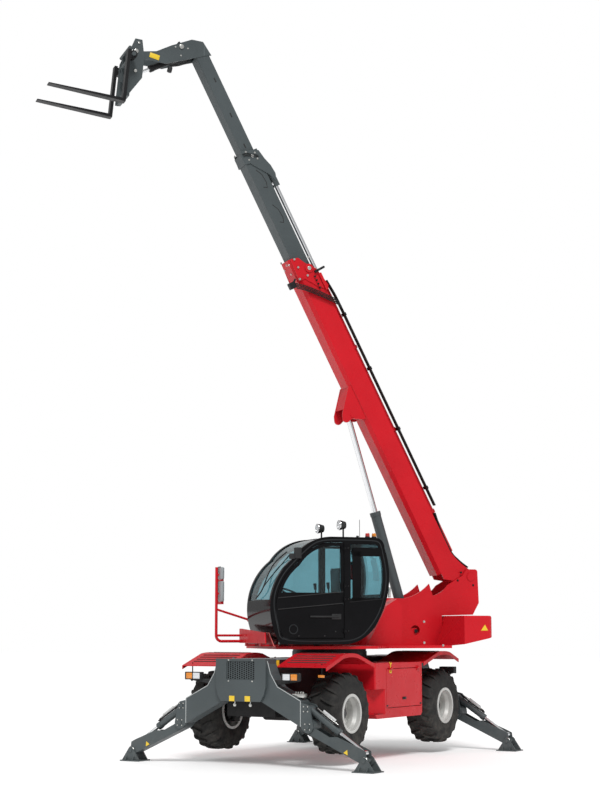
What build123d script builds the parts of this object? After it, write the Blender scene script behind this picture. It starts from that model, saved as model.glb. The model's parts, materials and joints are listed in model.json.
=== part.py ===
from build123d import *
from math import atan2, cos, degrees, hypot, radians, sin, tan
import os

# Rotating telehandler on four stabiliser legs, boom raised and half extended.
# Frame: +X to the machine's left (cab side), -Y forward, +Z up, millimetres, z = 0 at the feet.
# Turret pieces are drawn with the turret straight ahead, boom pieces with the boom lying forward
# along -Y, and each is then turned to its parked pose.

# ---- running gear
wheelbase = 2800
track = 1900
tyre_diameter = 1080
tyre_width = 450
rim_diameter = 490
axle_height = 680
kingpin_inset = 150
steer_lock = 30
axle_tube_radius = 85

# ---- chassis
frame_half_width = 380
belly_height = 560
arch_height = 880
deck_height = 1390
pedestal_radius = 540
pedestal_top = 1480
box_half_width = 1123
box_bottom = 571
box_top = 1326
box_front = wheelbase / 2 - 710
box_rear = wheelbase / 2 - 660
box_wall = 30
box_corner = 22
hatch_front = box_front - 330
hatch_rear = 40 - box_rear
hatch_top = 1250
hatch_bottom = 705
hatch_hinges = (120 - hatch_front, -120 - hatch_rear)
step_front = box_front - 35
step_width = 255
step_depth = 190
step_low = 630
step_high = 972
fender_top = 1472
fender_skin = 10

# ---- stabilisers
leg_plane = wheelbase / 2 + 790
beam_depth = 220
beam_end = 903
leg_pin = (1005, 545)
ram_pin = (980, 770)
foot_pin = (1830, 145)
leg_width = 160
leg_plate = 16
side_gap = 5
pin_gap = 0.3
leg_fold = 105
foot_length = 320
foot_width = 300
foot_plate = 14

# ---- turret
slew_angle = 37.9
turret_bottom = 1520
turret_plate = 40
slew_ring_radius = 520
boom_offset = -300
pivot_back = 2336
pivot_height = 2578
cheek_plate = 25
tail_radius = 2430

# ---- cab
cab_left = 1120
cab_right = 150
cab_wall = 45
ring_width = 80
ring_depth = 45
post_front = 225
post_rear = 150
sill_height = 2190
door_sill = 2290
glass_thickness = 6
door_gap = 8
door_thickness = 38
door_recess = 3
hinge_heights = (1767, 2206, 2385, 2910)
hinge_pin = 6
hinge_barrel = 13
hinge_rise = 15
hinge_length = 70
hinge_ear = 16
hinge_plate = 8
hinge_reach = 34

# ---- boom
boom_angle = 62.7
boom_drop = 280
outer_size = (360, 345)
middle_size = (290, 255)
inner_size = (246, 210)
outer_wall = 10
outer_bend = 50
middle_wall = 8
inner_wall = 7
outer_span = (250, 5487)
middle_span = (1800, 7205)
inner_span = (3400, 8800)
corner_radius = 22
slide_gap = 0.6
slide_back = 1500
slide_out = 2800
lift_pin = (2982, -600)
lift_base = (-1394, 1750)
lift_barrel_radius = 76
lift_rod_radius = 42
boom_lowest = -3
boom_highest = 69

# ---- head, carriage and forks
head_pin = (9170, -1270)
carriage_half_width = 260
fork_tilt = 5.3
fork_spacing = 780
fork_length = 1130
fork_width = 120
fork_thickness = 45
carriage_back = 75
carriage_dump = 45

# ---- poses of the turned frames
machine = Location((0, 0, 0))
turret = Location((0, 0, 0), (0, 0, -slew_angle))
boom = turret * Location((boom_offset, pivot_back, pivot_height)) * Location((0, 0, 0), (-boom_angle, 0, 0))
boom_tip = boom * Location((0, -head_pin[0], head_pin[1]))
carriage = boom_tip * Location((0, 0, 0), (boom_angle - fork_tilt, 0, 0))

pieces = {}


def side(x):
    """Plane seen from the right side: local x runs forward, local y up, extrusion goes right."""
    return Plane(origin=(x, 0, 0), x_dir=(0, -1, 0), z_dir=(-1, 0, 0))


def front(y, z=0):
    """Plane seen from the front: local x runs left, local y up, extrusion goes forward."""
    return Plane(origin=(0, y, z), x_dir=(1, 0, 0), z_dir=(0, -1, 0))


def keep(piece, node, pose=machine):
    """Label a finished piece and note where it stands."""
    piece.part.label = node
    pieces[node] = pose * piece.part


def mirrored(points):
    """Close a right-hand outline with its own mirror image."""
    return points + [(-x, z) for x, z in reversed(points)]


# ================================================================ door hinges
# local z along the pin, x outward from the panel's face, y towards the leaf
with BuildPart() as hinge_fixed:
    Cylinder(hinge_pin, hinge_length)
    for level in (-1, 1):
        with Locations((0, 0, level * (hinge_length - hinge_ear) / 2)):
            Cylinder(hinge_barrel, hinge_ear)
        ear_height = level * (hinge_length - hinge_ear) / 2
        with Locations((hinge_plate / 2 - hinge_rise, -hinge_reach / 2, ear_height)):
            Box(hinge_plate, hinge_reach, hinge_ear)

with BuildPart() as hinge_leaf:
    leaf_length = hinge_length - 2 * hinge_ear - 2 * pin_gap
    Cylinder(hinge_barrel, leaf_length)
    with Locations(((hinge_plate - door_recess) / 2 - hinge_rise, hinge_reach / 2, 0)):
        Box(hinge_plate + door_recess, hinge_reach, leaf_length)
    Cylinder(hinge_pin + pin_gap, hinge_length, mode=Mode.SUBTRACT)


def cab_hinge(height):
    """Plane of one hinge on the cab's door post."""
    origin = (cab_left + hinge_rise, -post_front - door_gap / 2, height)
    return Plane(origin=origin, x_dir=(1, 0, 0), z_dir=(0, 0, -1))


def hatch_hinge(hand, y):
    """Plane of one hinge above a side hatch; hand is 1 at the left and -1 at the right."""
    origin = (hand * (box_half_width + hinge_rise), y, hatch_top - door_gap / 2)
    return Plane(origin=origin, x_dir=(hand, 0, 0), z_dir=(0, hand, 0))


# ================================================================ chassis
with BuildPart() as chassis_frame:
    axle_y = wheelbase / 2
    beam_back = leg_plane - beam_depth / 2
    half_profile = [
        (beam_back, deck_height),
        (beam_back, 640),
        (axle_y + 450, 640),
        (axle_y + 350, arch_height),
        (axle_y - 350, arch_height),
        (axle_y - 450, belly_height),
    ]
    with BuildSketch(side(frame_half_width)):
        with BuildLine():
            Polyline(*mirrored(half_profile), close=True)
        make_face()
    extrude(amount=2 * frame_half_width)
    with BuildSketch(Plane.XY.offset(deck_height)):
        Circle(pedestal_radius)
    extrude(amount=pedestal_top - deck_height)
    with BuildSketch(Plane.XY.offset(pedestal_top)):
        Circle(slew_ring_radius - 60)
        Circle(slew_ring_radius - 140, mode=Mode.SUBTRACT)
    extrude(amount=-60, mode=Mode.SUBTRACT)
    with Locations(*[(0, s * axle_y, arch_height - 40) for s in (-1, 1)]):
        Box(300, 240, 80)
keep(chassis_frame, "chassis_frame")

beam_half = [
    (393, 1400),
    (393, 1340),
    (445, 1210),
    (550, 1045),
    (beam_end, 870),
    (beam_end, 539),
    (310, 844),
]
shield_half = [(393, 1406), (393, 1040), (365, 930), (310, 848)]
ear_thickness = 25
grille_size = (446, 245)
grille_height = 1252


def beam_edge(height):
    """Half width of the beam's upper outline at a height between its two sloping corners."""
    (upper, top), (lower, low) = beam_half[2], beam_half[3]
    return upper + (lower - upper) * (top - height) / (top - low)



def stabiliser_beam(with_shield):
    """Box beam that carries two legs, with ears and pins at both ends; drawn for the front."""
    with BuildPart() as beam:
        with BuildSketch(front(-leg_plane + beam_depth / 2)):
            with BuildLine():
                Polyline(*mirrored(beam_half), close=True)
            make_face()
        extrude(amount=beam_depth)
        for offset in (-1, 1):
            inner = leg_width / 2 + side_gap
            start = -leg_plane + offset * inner + (0 if offset < 0 else ear_thickness)
            for hand in (-1, 1):
                with BuildSketch(front(start)):
                    with Locations((hand * leg_pin[0], leg_pin[1])):
                        Circle(82)
                    with Locations((hand * ram_pin[0], ram_pin[1])):
                        Circle(60)
                    with Locations((hand * (beam_end - 10), 590), (hand * (beam_end - 10), 820)):
                        Circle(30)
                    make_hull()
                extrude(amount=ear_thickness)
        with BuildSketch(front(-leg_plane + beam_depth / 2 + 12)):
            with Locations(*[(h * leg_pin[0], leg_pin[1]) for h in (-1, 1)]):
                Circle(30)
            with Locations(*[(h * ram_pin[0], ram_pin[1]) for h in (-1, 1)]):
                Circle(25)
        extrude(amount=beam_depth + 24)
        if with_shield:
            with BuildSketch(front(-leg_plane - beam_depth / 2)):
                with BuildLine():
                    Polyline(*mirrored(shield_half), close=True)
                make_face()
            extrude(amount=44)
            with BuildSketch(front(-leg_plane - beam_depth / 2 - 44)):
                with Locations((0, grille_height)):
                    RectangleRounded(*grille_size, 18)
            extrude(amount=-24, mode=Mode.SUBTRACT)
    return beam


keep(stabiliser_beam(True), "front_stabiliser_beam")
keep(stabiliser_beam(False), "rear_stabiliser_beam", Location((0, 0, 0), (0, 0, 180)))

# one leg: u runs from the leg pin to the foot pin, n square to it, upwards
leg_length = hypot(foot_pin[0] - leg_pin[0], foot_pin[1] - leg_pin[1])
leg_slope = degrees(atan2(foot_pin[1] - leg_pin[1], foot_pin[0] - leg_pin[0]))
rod_pin_u = leg_length - 75
rod_pin_n = 64
leg_root_radius = 88
foot_boss_radius = 58
ram_notch = 25


def leg_plan(y):
    """Plane of the leg's side plates: local x from leg pin to foot pin."""
    base = front(y)
    angle = radians(leg_slope)
    return Plane(origin=(leg_pin[0], y, leg_pin[1]), x_dir=(cos(angle), 0, sin(angle)), z_dir=base.z_dir)


with BuildPart() as stabiliser_leg:
    half = leg_width / 2
    with BuildSketch(leg_plan(half)):
        with BuildLine():
            Polyline(
                (0, -leg_root_radius),
                (leg_length, -foot_boss_radius),
                (leg_length, 40),
                (leg_length - 45, 108),
                (leg_length - 120, 108),
                (430, 80),
                (330, ram_notch),
                (70, ram_notch),
                (0, leg_root_radius),
                close=True,
            )
        make_face()
        Circle(leg_root_radius)
        with Locations((leg_length, 0)):
            Circle(foot_boss_radius)
    extrude(amount=leg_width)
    with BuildSketch(leg_plan(half - leg_plate)):
        with BuildLine():
            Polyline(
                (leg_root_radius + 12, 200),
                (leg_root_radius + 12, -leg_root_radius + leg_plate + 4),
                (leg_length + 100, -foot_boss_radius + leg_plate - 2),
                (leg_length + 100, 200),
                close=True,
            )
        make_face()
    extrude(amount=leg_width - 2 * leg_plate, mode=Mode.SUBTRACT)
    with BuildSketch(leg_plan(half)):
        Circle(30 + pin_gap)
        with Locations((leg_length, 0)):
            Circle(25 + pin_gap)
    extrude(amount=leg_width, mode=Mode.SUBTRACT)
    for start, depth in ((half - leg_plate, 22), (-half + leg_plate + 22, 22)):
        with BuildSketch(leg_plan(start)):
            with Locations((rod_pin_u, rod_pin_n)):
                Circle(26)
        extrude(amount=depth)

angle = radians(leg_slope)
rod_pin = (
    leg_pin[0] + rod_pin_u * cos(angle) - rod_pin_n * sin(angle),
    leg_pin[1] + rod_pin_u * sin(angle) + rod_pin_n * cos(angle),
)
ram_length = hypot(rod_pin[0] - ram_pin[0], rod_pin[1] - ram_pin[1])
ram_slope = degrees(atan2(rod_pin[1] - ram_pin[1], rod_pin[0] - ram_pin[0]))


def ram_plan(y):
    """Plane through the leg cylinder's axis: local x from its upper pin to the rod's eye."""
    a = radians(ram_slope)
    return Plane(origin=(ram_pin[0], y, ram_pin[1]), x_dir=(cos(a), 0, sin(a)), z_dir=(0, -1, 0))


def across(origin, direction):
    """Plane square to a direction in the XZ plane."""
    return Plane(origin=origin, x_dir=(0, 1, 0), z_dir=(direction[0], 0, direction[1]))


def cylinder_barrel(plane_at, square_at, eye_radius, eye_width, pin_radius, outer, bore, gland, length):
    """Tube with an eye at its foot; the rod passes the gland with a running gap."""
    with BuildPart() as barrel:
        with BuildSketch(square_at(eye_radius * 0.6)):
            Circle(outer)
        extrude(amount=length - eye_radius * 0.6)
        with BuildSketch(plane_at(eye_width / 2)):
            Circle(eye_radius)
        extrude(amount=eye_width)
        with BuildSketch(square_at(length - 60)):
            Circle(outer + 6)
        extrude(amount=60)
        with BuildSketch(square_at(eye_radius + 25)):
            Circle(bore)
        extrude(amount=length - eye_radius - 25 - 50, mode=Mode.SUBTRACT)
        with BuildSketch(square_at(length - 51)):
            Circle(gland)
        extrude(amount=52, mode=Mode.SUBTRACT)
        with BuildSketch(plane_at(eye_width / 2)):
            Circle(pin_radius + pin_gap)
        extrude(amount=eye_width, mode=Mode.SUBTRACT)
    return barrel


def cylinder_rod(plane_at, square_at, eye_at, eye_radius, eye_width, rod_radius, head_radius, head_at):
    """Piston, rod and the rod's eye."""
    with BuildPart() as rod:
        with BuildSketch(square_at(head_at)):
            Circle(rod_radius)
        extrude(amount=eye_at - head_at - eye_radius * 0.5)
        with BuildSketch(square_at(head_at)):
            Circle(head_radius)
        extrude(amount=40)
        with BuildSketch(plane_at(eye_width / 2)):
            with Locations((eye_at, 0)):
                Circle(eye_radius)
                Circle(eye_radius * 0.55, mode=Mode.SUBTRACT)
        extrude(amount=eye_width)
    return rod


def ram_square(distance):
    a = radians(ram_slope)
    x = ram_pin[0] + distance * cos(a)
    z = ram_pin[1] + distance * sin(a)
    return across((x, 0, z), (cos(a), sin(a)))


ram_outer = 44
ram_bore = 34
ram_rod = 24
ram_barrel_length = 540
leg_barrel = cylinder_barrel(
    ram_plan, ram_square, 44, 120, 25, ram_outer, ram_bore, ram_rod + pin_gap, ram_barrel_length
)
leg_rod = cylinder_rod(ram_plan, ram_square, ram_length, 36, 70, ram_rod, ram_bore - 0.4, 445)

with BuildPart() as stabiliser_foot:
    ear_in = leg_width / 2 + side_gap
    for start in (ear_in + 20, -ear_in):
        with BuildSketch(front(start)):
            Circle(44)
            with Locations(*[(s * (foot_length / 2 - 30), -foot_pin[1] + foot_plate + 6) for s in (-1, 1)]):
                Circle(8)
            make_hull()
        extrude(amount=20)
    with BuildSketch(Plane.XY.offset(-foot_pin[1])):
        RectangleRounded(foot_length, foot_width, 20)
    extrude(amount=foot_plate)
    for turn in (1, -1):
        for x in (-60, 60):
            with BuildSketch(Plane(origin=(x - 6, 0, -foot_pin[1]), x_dir=(0, turn, 0), z_dir=(turn, 0, 0))):
                with BuildLine():
                    Polyline(
                        (ear_in + 10, foot_plate - 1),
                        (foot_width / 2 - 6, foot_plate - 1),
                        (foot_width / 2 - 6, foot_plate + 12),
                        (ear_in + 20, foot_plate + 62),
                        (ear_in + 10, foot_plate + 62),
                        close=True,
                    )
                make_face()
            extrude(amount=12 * turn)
    with BuildSketch(front(ear_in + 32)):
        Circle(25)
    extrude(amount=2 * ear_in + 64)

corners = {
    # name: (y of the leg's plane, turn about Z)
    "front_left": (-leg_plane, 0),
    "front_right": (-leg_plane, 180),
    "rear_left": (leg_plane, 0),
    "rear_right": (leg_plane, 180),
}
for corner, (y, turn) in corners.items():
    pose = Location((0, y, 0), (0, 0, turn))
    keep(stabiliser_leg, corner + "_leg", pose)
    keep(leg_barrel, corner + "_leg_cylinder", pose)
    keep(leg_rod, corner + "_leg_rod", pose)
    keep(stabiliser_foot, corner + "_foot", pose * Location((foot_pin[0], 0, foot_pin[1])))

# ================================================================ axles and wheels
tyre_radius = tyre_diameter / 2
rim_radius = rim_diameter / 2
tyre_centre = track / 2
kingpin_x = tyre_centre - kingpin_inset
kingpin_half = 150

with BuildPart() as axle:
    yoke_x = kingpin_x - 105
    with BuildSketch(Plane.YZ.offset(-yoke_x)):
        Circle(axle_tube_radius)
    extrude(amount=2 * yoke_x)
    with BuildSketch(Plane.YZ.offset(-190)):
        Circle(arch_height - 80 - axle_height)
    extrude(amount=380)
    with Locations((0, 0, (arch_height - 80 - axle_height) / 2)):
        Box(160, 160, arch_height - 80 - axle_height)
    for hand in (-1, 1):
        with Locations((hand * (yoke_x - 10), 0, 0)):
            Box(40, 130, 2 * kingpin_half)
        for level in (-1, 1):
            with Locations((hand * (kingpin_x - 50), 0, level * (kingpin_half - 17))):
                Box(130, 110, 34)
            with Locations((hand * kingpin_x, 0, level * (kingpin_half - 17))):
                Cylinder(55, 34)
            with Locations((hand * kingpin_x, 0, level * (kingpin_half - 17))):
                Cylinder(30 + pin_gap, 34, mode=Mode.SUBTRACT)
keep(axle, "front_axle", Location((0, -axle_y, axle_height)))
keep(axle, "rear_axle", Location((0, axle_y, axle_height)))

hub_face = 5
with BuildPart() as knuckle:
    with Locations((0, 0, 0)):
        Cylinder(60, 2 * (kingpin_half - 34 - 1))
        Cylinder(30, 2 * kingpin_half)
    with BuildSketch(Plane.YZ):
        Circle(75)
    extrude(amount=kingpin_inset + hub_face - 80)
    with BuildSketch(Plane.YZ.offset(kingpin_inset + hub_face - 80)):
        Circle(100)
    extrude(amount=60)
    with BuildSketch(Plane.YZ.offset(kingpin_inset + hub_face - 20)):
        Circle(40)
    extrude(amount=70)

with BuildPart() as tyre:
    half = tyre_width / 2
    with BuildSketch(Plane.XZ):
        with BuildLine():
            Polyline(
                (-half + 25, rim_radius),
                (-half + 25, rim_radius + 16),
                (-half, rim_radius + 60),
                (-half, tyre_radius - 95),
                (-half + 22, tyre_radius - 28),
                (-half + 70, tyre_radius),
                (half - 70, tyre_radius),
                (half - 22, tyre_radius - 28),
                (half, tyre_radius - 95),
                (half, rim_radius + 60),
                (half - 25, rim_radius + 16),
                (half - 25, rim_radius),
                close=True,
            )
        make_face()
    revolve(axis=Axis.X)

with BuildPart() as rim:
    half = tyre_width / 2 - 25
    with BuildSketch(Plane.XZ):
        with BuildLine():
            Polyline(
                (-half - 14, rim_radius + 14),
                (-half - 14, rim_radius - 22),
                (-half + 40, rim_radius - 22),
                (-half + 90, rim_radius - 40),
                (half - 90, rim_radius - 40),
                (half - 40, rim_radius - 22),
                (half + 14, rim_radius - 22),
                (half + 14, rim_radius + 14),
                (half, rim_radius + 14),
                (half, rim_radius),
                (-half, rim_radius),
                (-half, rim_radius + 14),
                close=True,
            )
        make_face()
    revolve(axis=Axis.X)
    with BuildSketch(Plane.YZ.offset(hub_face)):
        Circle(rim_radius - 30)
        Circle(40 + 1, mode=Mode.SUBTRACT)
    extrude(amount=16)
    with BuildSketch(Plane.YZ.offset(hub_face + 16)):
        Circle(110)
        Circle(40 + pin_gap, mode=Mode.SUBTRACT)
    extrude(amount=24)

for corner, (y, turn) in corners.items():
    y = axle_y if y > 0 else -axle_y
    axle_pose = Location((0, y, axle_height), (0, 0, turn))
    keep(knuckle, corner + "_knuckle", axle_pose * Location((kingpin_x, 0, 0)))
    keep(tyre, corner + "_tyre", axle_pose * Location((tyre_centre, 0, 0)))
    keep(rim, corner + "_rim", axle_pose * Location((tyre_centre, 0, 0)))

# ================================================================ bodywork on the chassis
box_depth = box_half_width - frame_half_width


def side_box(with_step):
    """Box at the chassis side between the wheels, open where its lid or hatch sits; drawn at the left."""
    with BuildPart() as body:
        with BuildSketch(side(box_half_width)):
            with BuildLine():
                Polyline(
                    (box_front, box_top),
                    (box_front, box_bottom + 60),
                    (box_front - 60, box_bottom),
                    (-box_rear + 60, box_bottom),
                    (-box_rear, box_bottom + 60),
                    (-box_rear, box_top),
                    close=True,
                )
            make_face()
        extrude(amount=box_depth)
        edges = body.edges().filter_by(Axis.Z).group_by(Axis.X)[-1]
        fillet(edges, box_corner)
        if with_step:
            with BuildSketch(Plane.XY.offset(step_low)):
                with BuildLine():
                    Polyline(
                        (box_half_width + 1, -step_front + step_width),
                        (box_half_width + 1, -box_front - 1),
                        (box_half_width - step_depth, -box_front - 1),
                        close=True,
                    )
                make_face()
            extrude(amount=step_high - step_low, mode=Mode.SUBTRACT)
    return body


with BuildPart() as left_side_box:
    add(side_box(True).part)
    cavity = (hatch_front - hatch_rear, hatch_top - hatch_bottom)
    middle = ((hatch_front + hatch_rear) / 2, (hatch_top + hatch_bottom) / 2)
    with BuildSketch(side(box_half_width)):
        with Locations(middle):
            RectangleRounded(cavity[0], cavity[1], 20)
    extrude(amount=260, mode=Mode.SUBTRACT)
    with Locations(*[hatch_hinge(1, y) for y in hatch_hinges]):
        add(hinge_fixed.part)
keep(left_side_box, "left_side_box")

with BuildPart() as side_hatch:
    with BuildSketch(side(box_half_width)):
        with Locations(middle):
            RectangleRounded(cavity[0] - 2 * door_gap, cavity[1] - 2 * door_gap, 14)
    extrude(amount=24)
    with Locations(*[hatch_hinge(1, y) for y in hatch_hinges]):
        add(hinge_leaf.part)
keep(side_hatch, "side_hatch")

with BuildPart() as engine_housing:
    add(side_box(False).part)
    mirror(about=Plane.YZ, mode=Mode.REPLACE)
    across = -(frame_half_width + box_half_width) / 2
    with Locations((across, (box_rear - box_front) / 2, (box_top + box_bottom) / 2)):
        Box(
            box_depth - 2 * box_wall,
            box_front + box_rear - 2 * box_wall,
            box_top - box_bottom - 2 * box_wall,
            mode=Mode.SUBTRACT,
        )
    with BuildSketch(side(-box_half_width + box_wall)):
        with Locations(middle):
            RectangleRounded(cavity[0], cavity[1], 20)
    extrude(amount=box_wall, mode=Mode.SUBTRACT)
    with Locations(*[hatch_hinge(-1, y) for y in hatch_hinges]):
        add(hinge_fixed.part)
keep(engine_housing, "engine_housing")

with BuildPart() as engine_door:
    with BuildSketch(side(-box_half_width + 24)):
        with Locations(middle):
            RectangleRounded(cavity[0] - 2 * door_gap, cavity[1] - 2 * door_gap, 14)
    extrude(amount=24)
    with Locations(*[hatch_hinge(-1, y) for y in hatch_hinges]):
        add(hinge_leaf.part)
keep(engine_door, "engine_door")

with BuildPart() as engine_block:
    with Locations((-(frame_half_width + 350), (box_rear - box_front) / 2, box_bottom + box_wall + 260)):
        Box(560, box_front + box_rear - 450, 520)
keep(engine_block, "engine_block")

fender_outer = 1150
fender_inner = frame_half_width
fender_lip = 52
fender_slope = 0.345
fender_crown = 200


def fender_line(nose, drop):
    """Upper line of one fender: sloping nose, crowned top over the wheel and a tail to the side box."""
    front_low = (axle_y + nose, fender_top - 16 - fender_slope * (nose - fender_crown) - drop)
    front_high = (axle_y + fender_crown, fender_top - 16 - drop)
    crown = (axle_y, fender_top - drop)
    rear_high = (axle_y - fender_crown, fender_top - 16 - drop)
    rear_low = (axle_y - 655, fender_top - 150 - drop)
    Line(front_low, front_high)
    ThreePointArc(front_high, crown, rear_high)
    Line(rear_high, rear_low)
    return front_low, rear_low


def fender(nose):
    """Pressed skin over one wheel, with a turned-down outer lip; drawn at the front left."""
    with BuildPart() as skin:
        for thick, width in ((fender_skin, fender_outer - fender_inner), (fender_lip, fender_skin)):
            with BuildSketch(side(fender_outer)):
                with BuildLine():
                    upper_front, upper_rear = fender_line(nose, 0)
                    lower_front, lower_rear = fender_line(nose, thick)
                    Line(upper_front, lower_front)
                    Line(upper_rear, lower_rear)
                make_face()
            extrude(amount=width)
    return skin


fender_noses = {
    # end: forward reach of the fender from its axle
    "front": 650,
    "rear": 500,
}
with BuildPart() as mudguards:
    add(fender(fender_noses["rear"]).part)
    mirror(about=Plane.XZ, mode=Mode.REPLACE)
    add(fender(fender_noses["front"]).part)
    mirror(about=Plane.YZ)
keep(mudguards, "mudguards")

lamp_height = 1173
lamp_bracket = 1130
with BuildPart() as lamps:
    for hand in (-1, 1):
        for end in (-1, 1):
            with Locations((hand * 766, end * (leg_plane + 115), lamp_height)):
                Box(250, 90, 2 * (lamp_height - lamp_bracket) + 14)
            with BuildSketch(front(end * (leg_plane + 60) + 30)):
                with BuildLine():
                    Polyline(
                        (hand * (beam_edge(1070) + pin_gap), 1070),
                        (hand * (beam_edge(lamp_bracket) + pin_gap), lamp_bracket),
                        (hand * 860, lamp_bracket),
                        (hand * 860, lamp_bracket - 14),
                        close=True,
                    )
                make_face()
            extrude(amount=60)
keep(lamps, "lamps")

# ================================================================ turret
cheek_in = outer_size[0] / 2 + 10
deck_top = turret_bottom + turret_plate
cheek_hole = (-1410, 1780)
cheek_hole_radius = 72


def cheek_line():
    """Outline of one turret cheek: front ramp, two hollows behind the cab and the pivot's ear."""
    neck = (-1644, pivot_height - 114)
    hollow = (-1700, pivot_height - 288)
    rise = (-1950, pivot_height - 128)
    crest = (-pivot_back - 77, pivot_height + 112)
    back = (-pivot_back - 117, pivot_height + 72)
    Polyline((750, deck_top), (750, 1700), (-560, 1760), (-760, 2130), (-960, 2250), (-1227, 2245))
    ThreePointArc((-1227, 2245), (-1445, pivot_height - 260), neck)
    Line(neck, hollow)
    ThreePointArc(hollow, (-1840, pivot_height - 233), rise)
    Polyline(rise, (-2200, pivot_height + 12), (-2270, pivot_height + 112), crest)
    ThreePointArc(crest, (-pivot_back - 105, pivot_height + 100), back)
    Polyline(back, (-2470, 2187), (-2367, 2009), (-1850, 1995), (-1850, deck_top), (750, deck_top))


with BuildPart() as turret_frame:
    with BuildSketch(Plane.XY.offset(turret_bottom)):
        with BuildLine():
            Polyline(
                (-640, -760),
                (-440, -1120),
                (900, -1150),
                (1060, -1000),
                (1060, 300),
                (560, 700),
                (560, 1695),
                (-30, 1695),
                (-30, 1845),
                (-980, 1845),
                (-980, 300),
                close=True,
            )
        make_face()
        Circle(slew_ring_radius - 141, mode=Mode.SUBTRACT)
    extrude(amount=turret_plate)
    with BuildSketch(Plane.XY.offset(turret_bottom)):
        Circle(slew_ring_radius)
        Circle(slew_ring_radius - 150, mode=Mode.SUBTRACT)
    extrude(amount=-(turret_bottom - pedestal_top - slide_gap))
    for x in (boom_offset + cheek_in + cheek_plate, boom_offset - cheek_in):
        with BuildSketch(side(x)):
            with BuildLine():
                cheek_line()
            make_face()
            with Locations(cheek_hole):
                Circle(cheek_hole_radius, mode=Mode.SUBTRACT)
        extrude(amount=cheek_plate)
    for x in (boom_offset + cheek_in + cheek_plate + 12, boom_offset - cheek_in):
        with BuildSketch(side(x)):
            with Locations((-pivot_back, pivot_height)):
                Circle(62)
        extrude(amount=cheek_plate + 12)
    with BuildSketch(side(boom_offset + cheek_in + cheek_plate)):
        with Locations((-pivot_back, pivot_height)):
            Circle(45)
    extrude(amount=2 * (cheek_in + cheek_plate))
    with BuildSketch(side(boom_offset + cheek_in)):
        with Locations(lift_base):
            Circle(40)
    extrude(amount=2 * cheek_in)
    for x in (boom_offset + cheek_in, boom_offset - cheek_in + 60):
        with BuildSketch(side(x)):
            with BuildLine():
                Polyline(
                    (lift_base[0] - 120, deck_top),
                    (lift_base[0] - 50, lift_base[1] + 60),
                    (lift_base[0] + 50, lift_base[1] + 60),
                    (lift_base[0] + 120, deck_top),
                    close=True,
                )
            make_face()
        extrude(amount=60)
    with Locations((boom_offset, 1830, (deck_top + 1900) / 2)):
        Box(2 * cheek_in, 30, 1900 - deck_top)
    # rubber mounts under the cab's four corners
    mounts = [(x, y) for y in (-950, -300) for x in (cab_right + 120, cab_left - 200)]
    for x, y in mounts:
        with Locations((x, y, deck_top + 12.5)):
            Cylinder(45, 25)
    with BuildSketch(side(250)):
        with BuildLine():
            Polyline(
                (-1040, deck_top),
                (-1040, 2120),
                (-960, 2230),
                (-800, 2130),
                (-600, 1760),
                (-480, deck_top),
                close=True,
            )
        make_face()
    extrude(amount=250 - (boom_offset + cheek_in + cheek_plate))
keep(turret_frame, "turret_frame", turret)

weight_top = 1990
weight_left = 560
weight_right = -1000
weight_round = 110
with BuildPart() as counterweight:
    with BuildSketch(Plane.XY.offset(turret_bottom + 10)):
        with BuildLine():
            Polyline(
                (weight_right, 1850),
                (-20, 1850),
                (0, 1700),
                (90, 1700),
                (weight_left, 1900),
                (weight_left, 2600),
                (weight_right, 2600),
                close=True,
            )
        make_face()
        Circle(tail_radius, mode=Mode.INTERSECT)
    extrude(amount=weight_top - turret_bottom - 10)
    weight_edges = counterweight.edges().filter_by(Axis.Z).sort_by(Axis.Y)[-2:]
    fillet(weight_edges, weight_round)
    # top leans back from the front edge, and the belly rises towards the rear
    with BuildSketch(side(1500)):
        with BuildLine():
            Polyline(
                (-1690, 1560),
                (-1690, 2100),
                (-1925, 2100),
                (-1890, weight_top),
                (-1700, 1560),
                close=True,
            )
        make_face()
    extrude(amount=3000, mode=Mode.SUBTRACT)
    with BuildSketch(side(1500)):
        with BuildLine():
            Polyline((-1800, 1500), (-1800, 1555), (-2330, 1665), (-2600, 1760), (-2600, 1500), close=True)
        make_face()
    extrude(amount=3000, mode=Mode.SUBTRACT)
    fillet(counterweight.faces().sort_by(Axis.Z)[-1].edges().sort_by(Axis.Y)[-3:], 30)
keep(counterweight, "counterweight", turret)


# ================================================================ cab
def cab_line():
    """Side outline of the cab: curved front, flat roof, rounded back and undercut rear corner."""
    ThreePointArc((1165, 1585), (1315, 2130), (985, 2755))
    ThreePointArc((985, 2755), (745, 2975), (420, 3065))
    Line((420, 3065), (-250, 3065))
    ThreePointArc((-250, 3065), (-350, 3018), (-385, 2920))
    ThreePointArc((-385, 2920), (-455, 2450), (-300, 1930))
    ThreePointArc((-300, 1930), (-110, 1700), (200, 1585))
    Line((200, 1585), (1165, 1585))


def cab_sheet(x, inset, forward, heights):
    """Sketch of the cab's outline, inset, kept between two forward limits and two heights."""
    with BuildSketch(side(x)) as sheet:
        with BuildLine():
            cab_line()
        make_face()
        if inset:
            offset(amount=-inset, mode=Mode.REPLACE)
        with Locations(((forward[0] + forward[1]) / 2, (heights[0] + heights[1]) / 2)):
            Rectangle(forward[1] - forward[0], heights[1] - heights[0], mode=Mode.INTERSECT)
    return sheet


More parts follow.
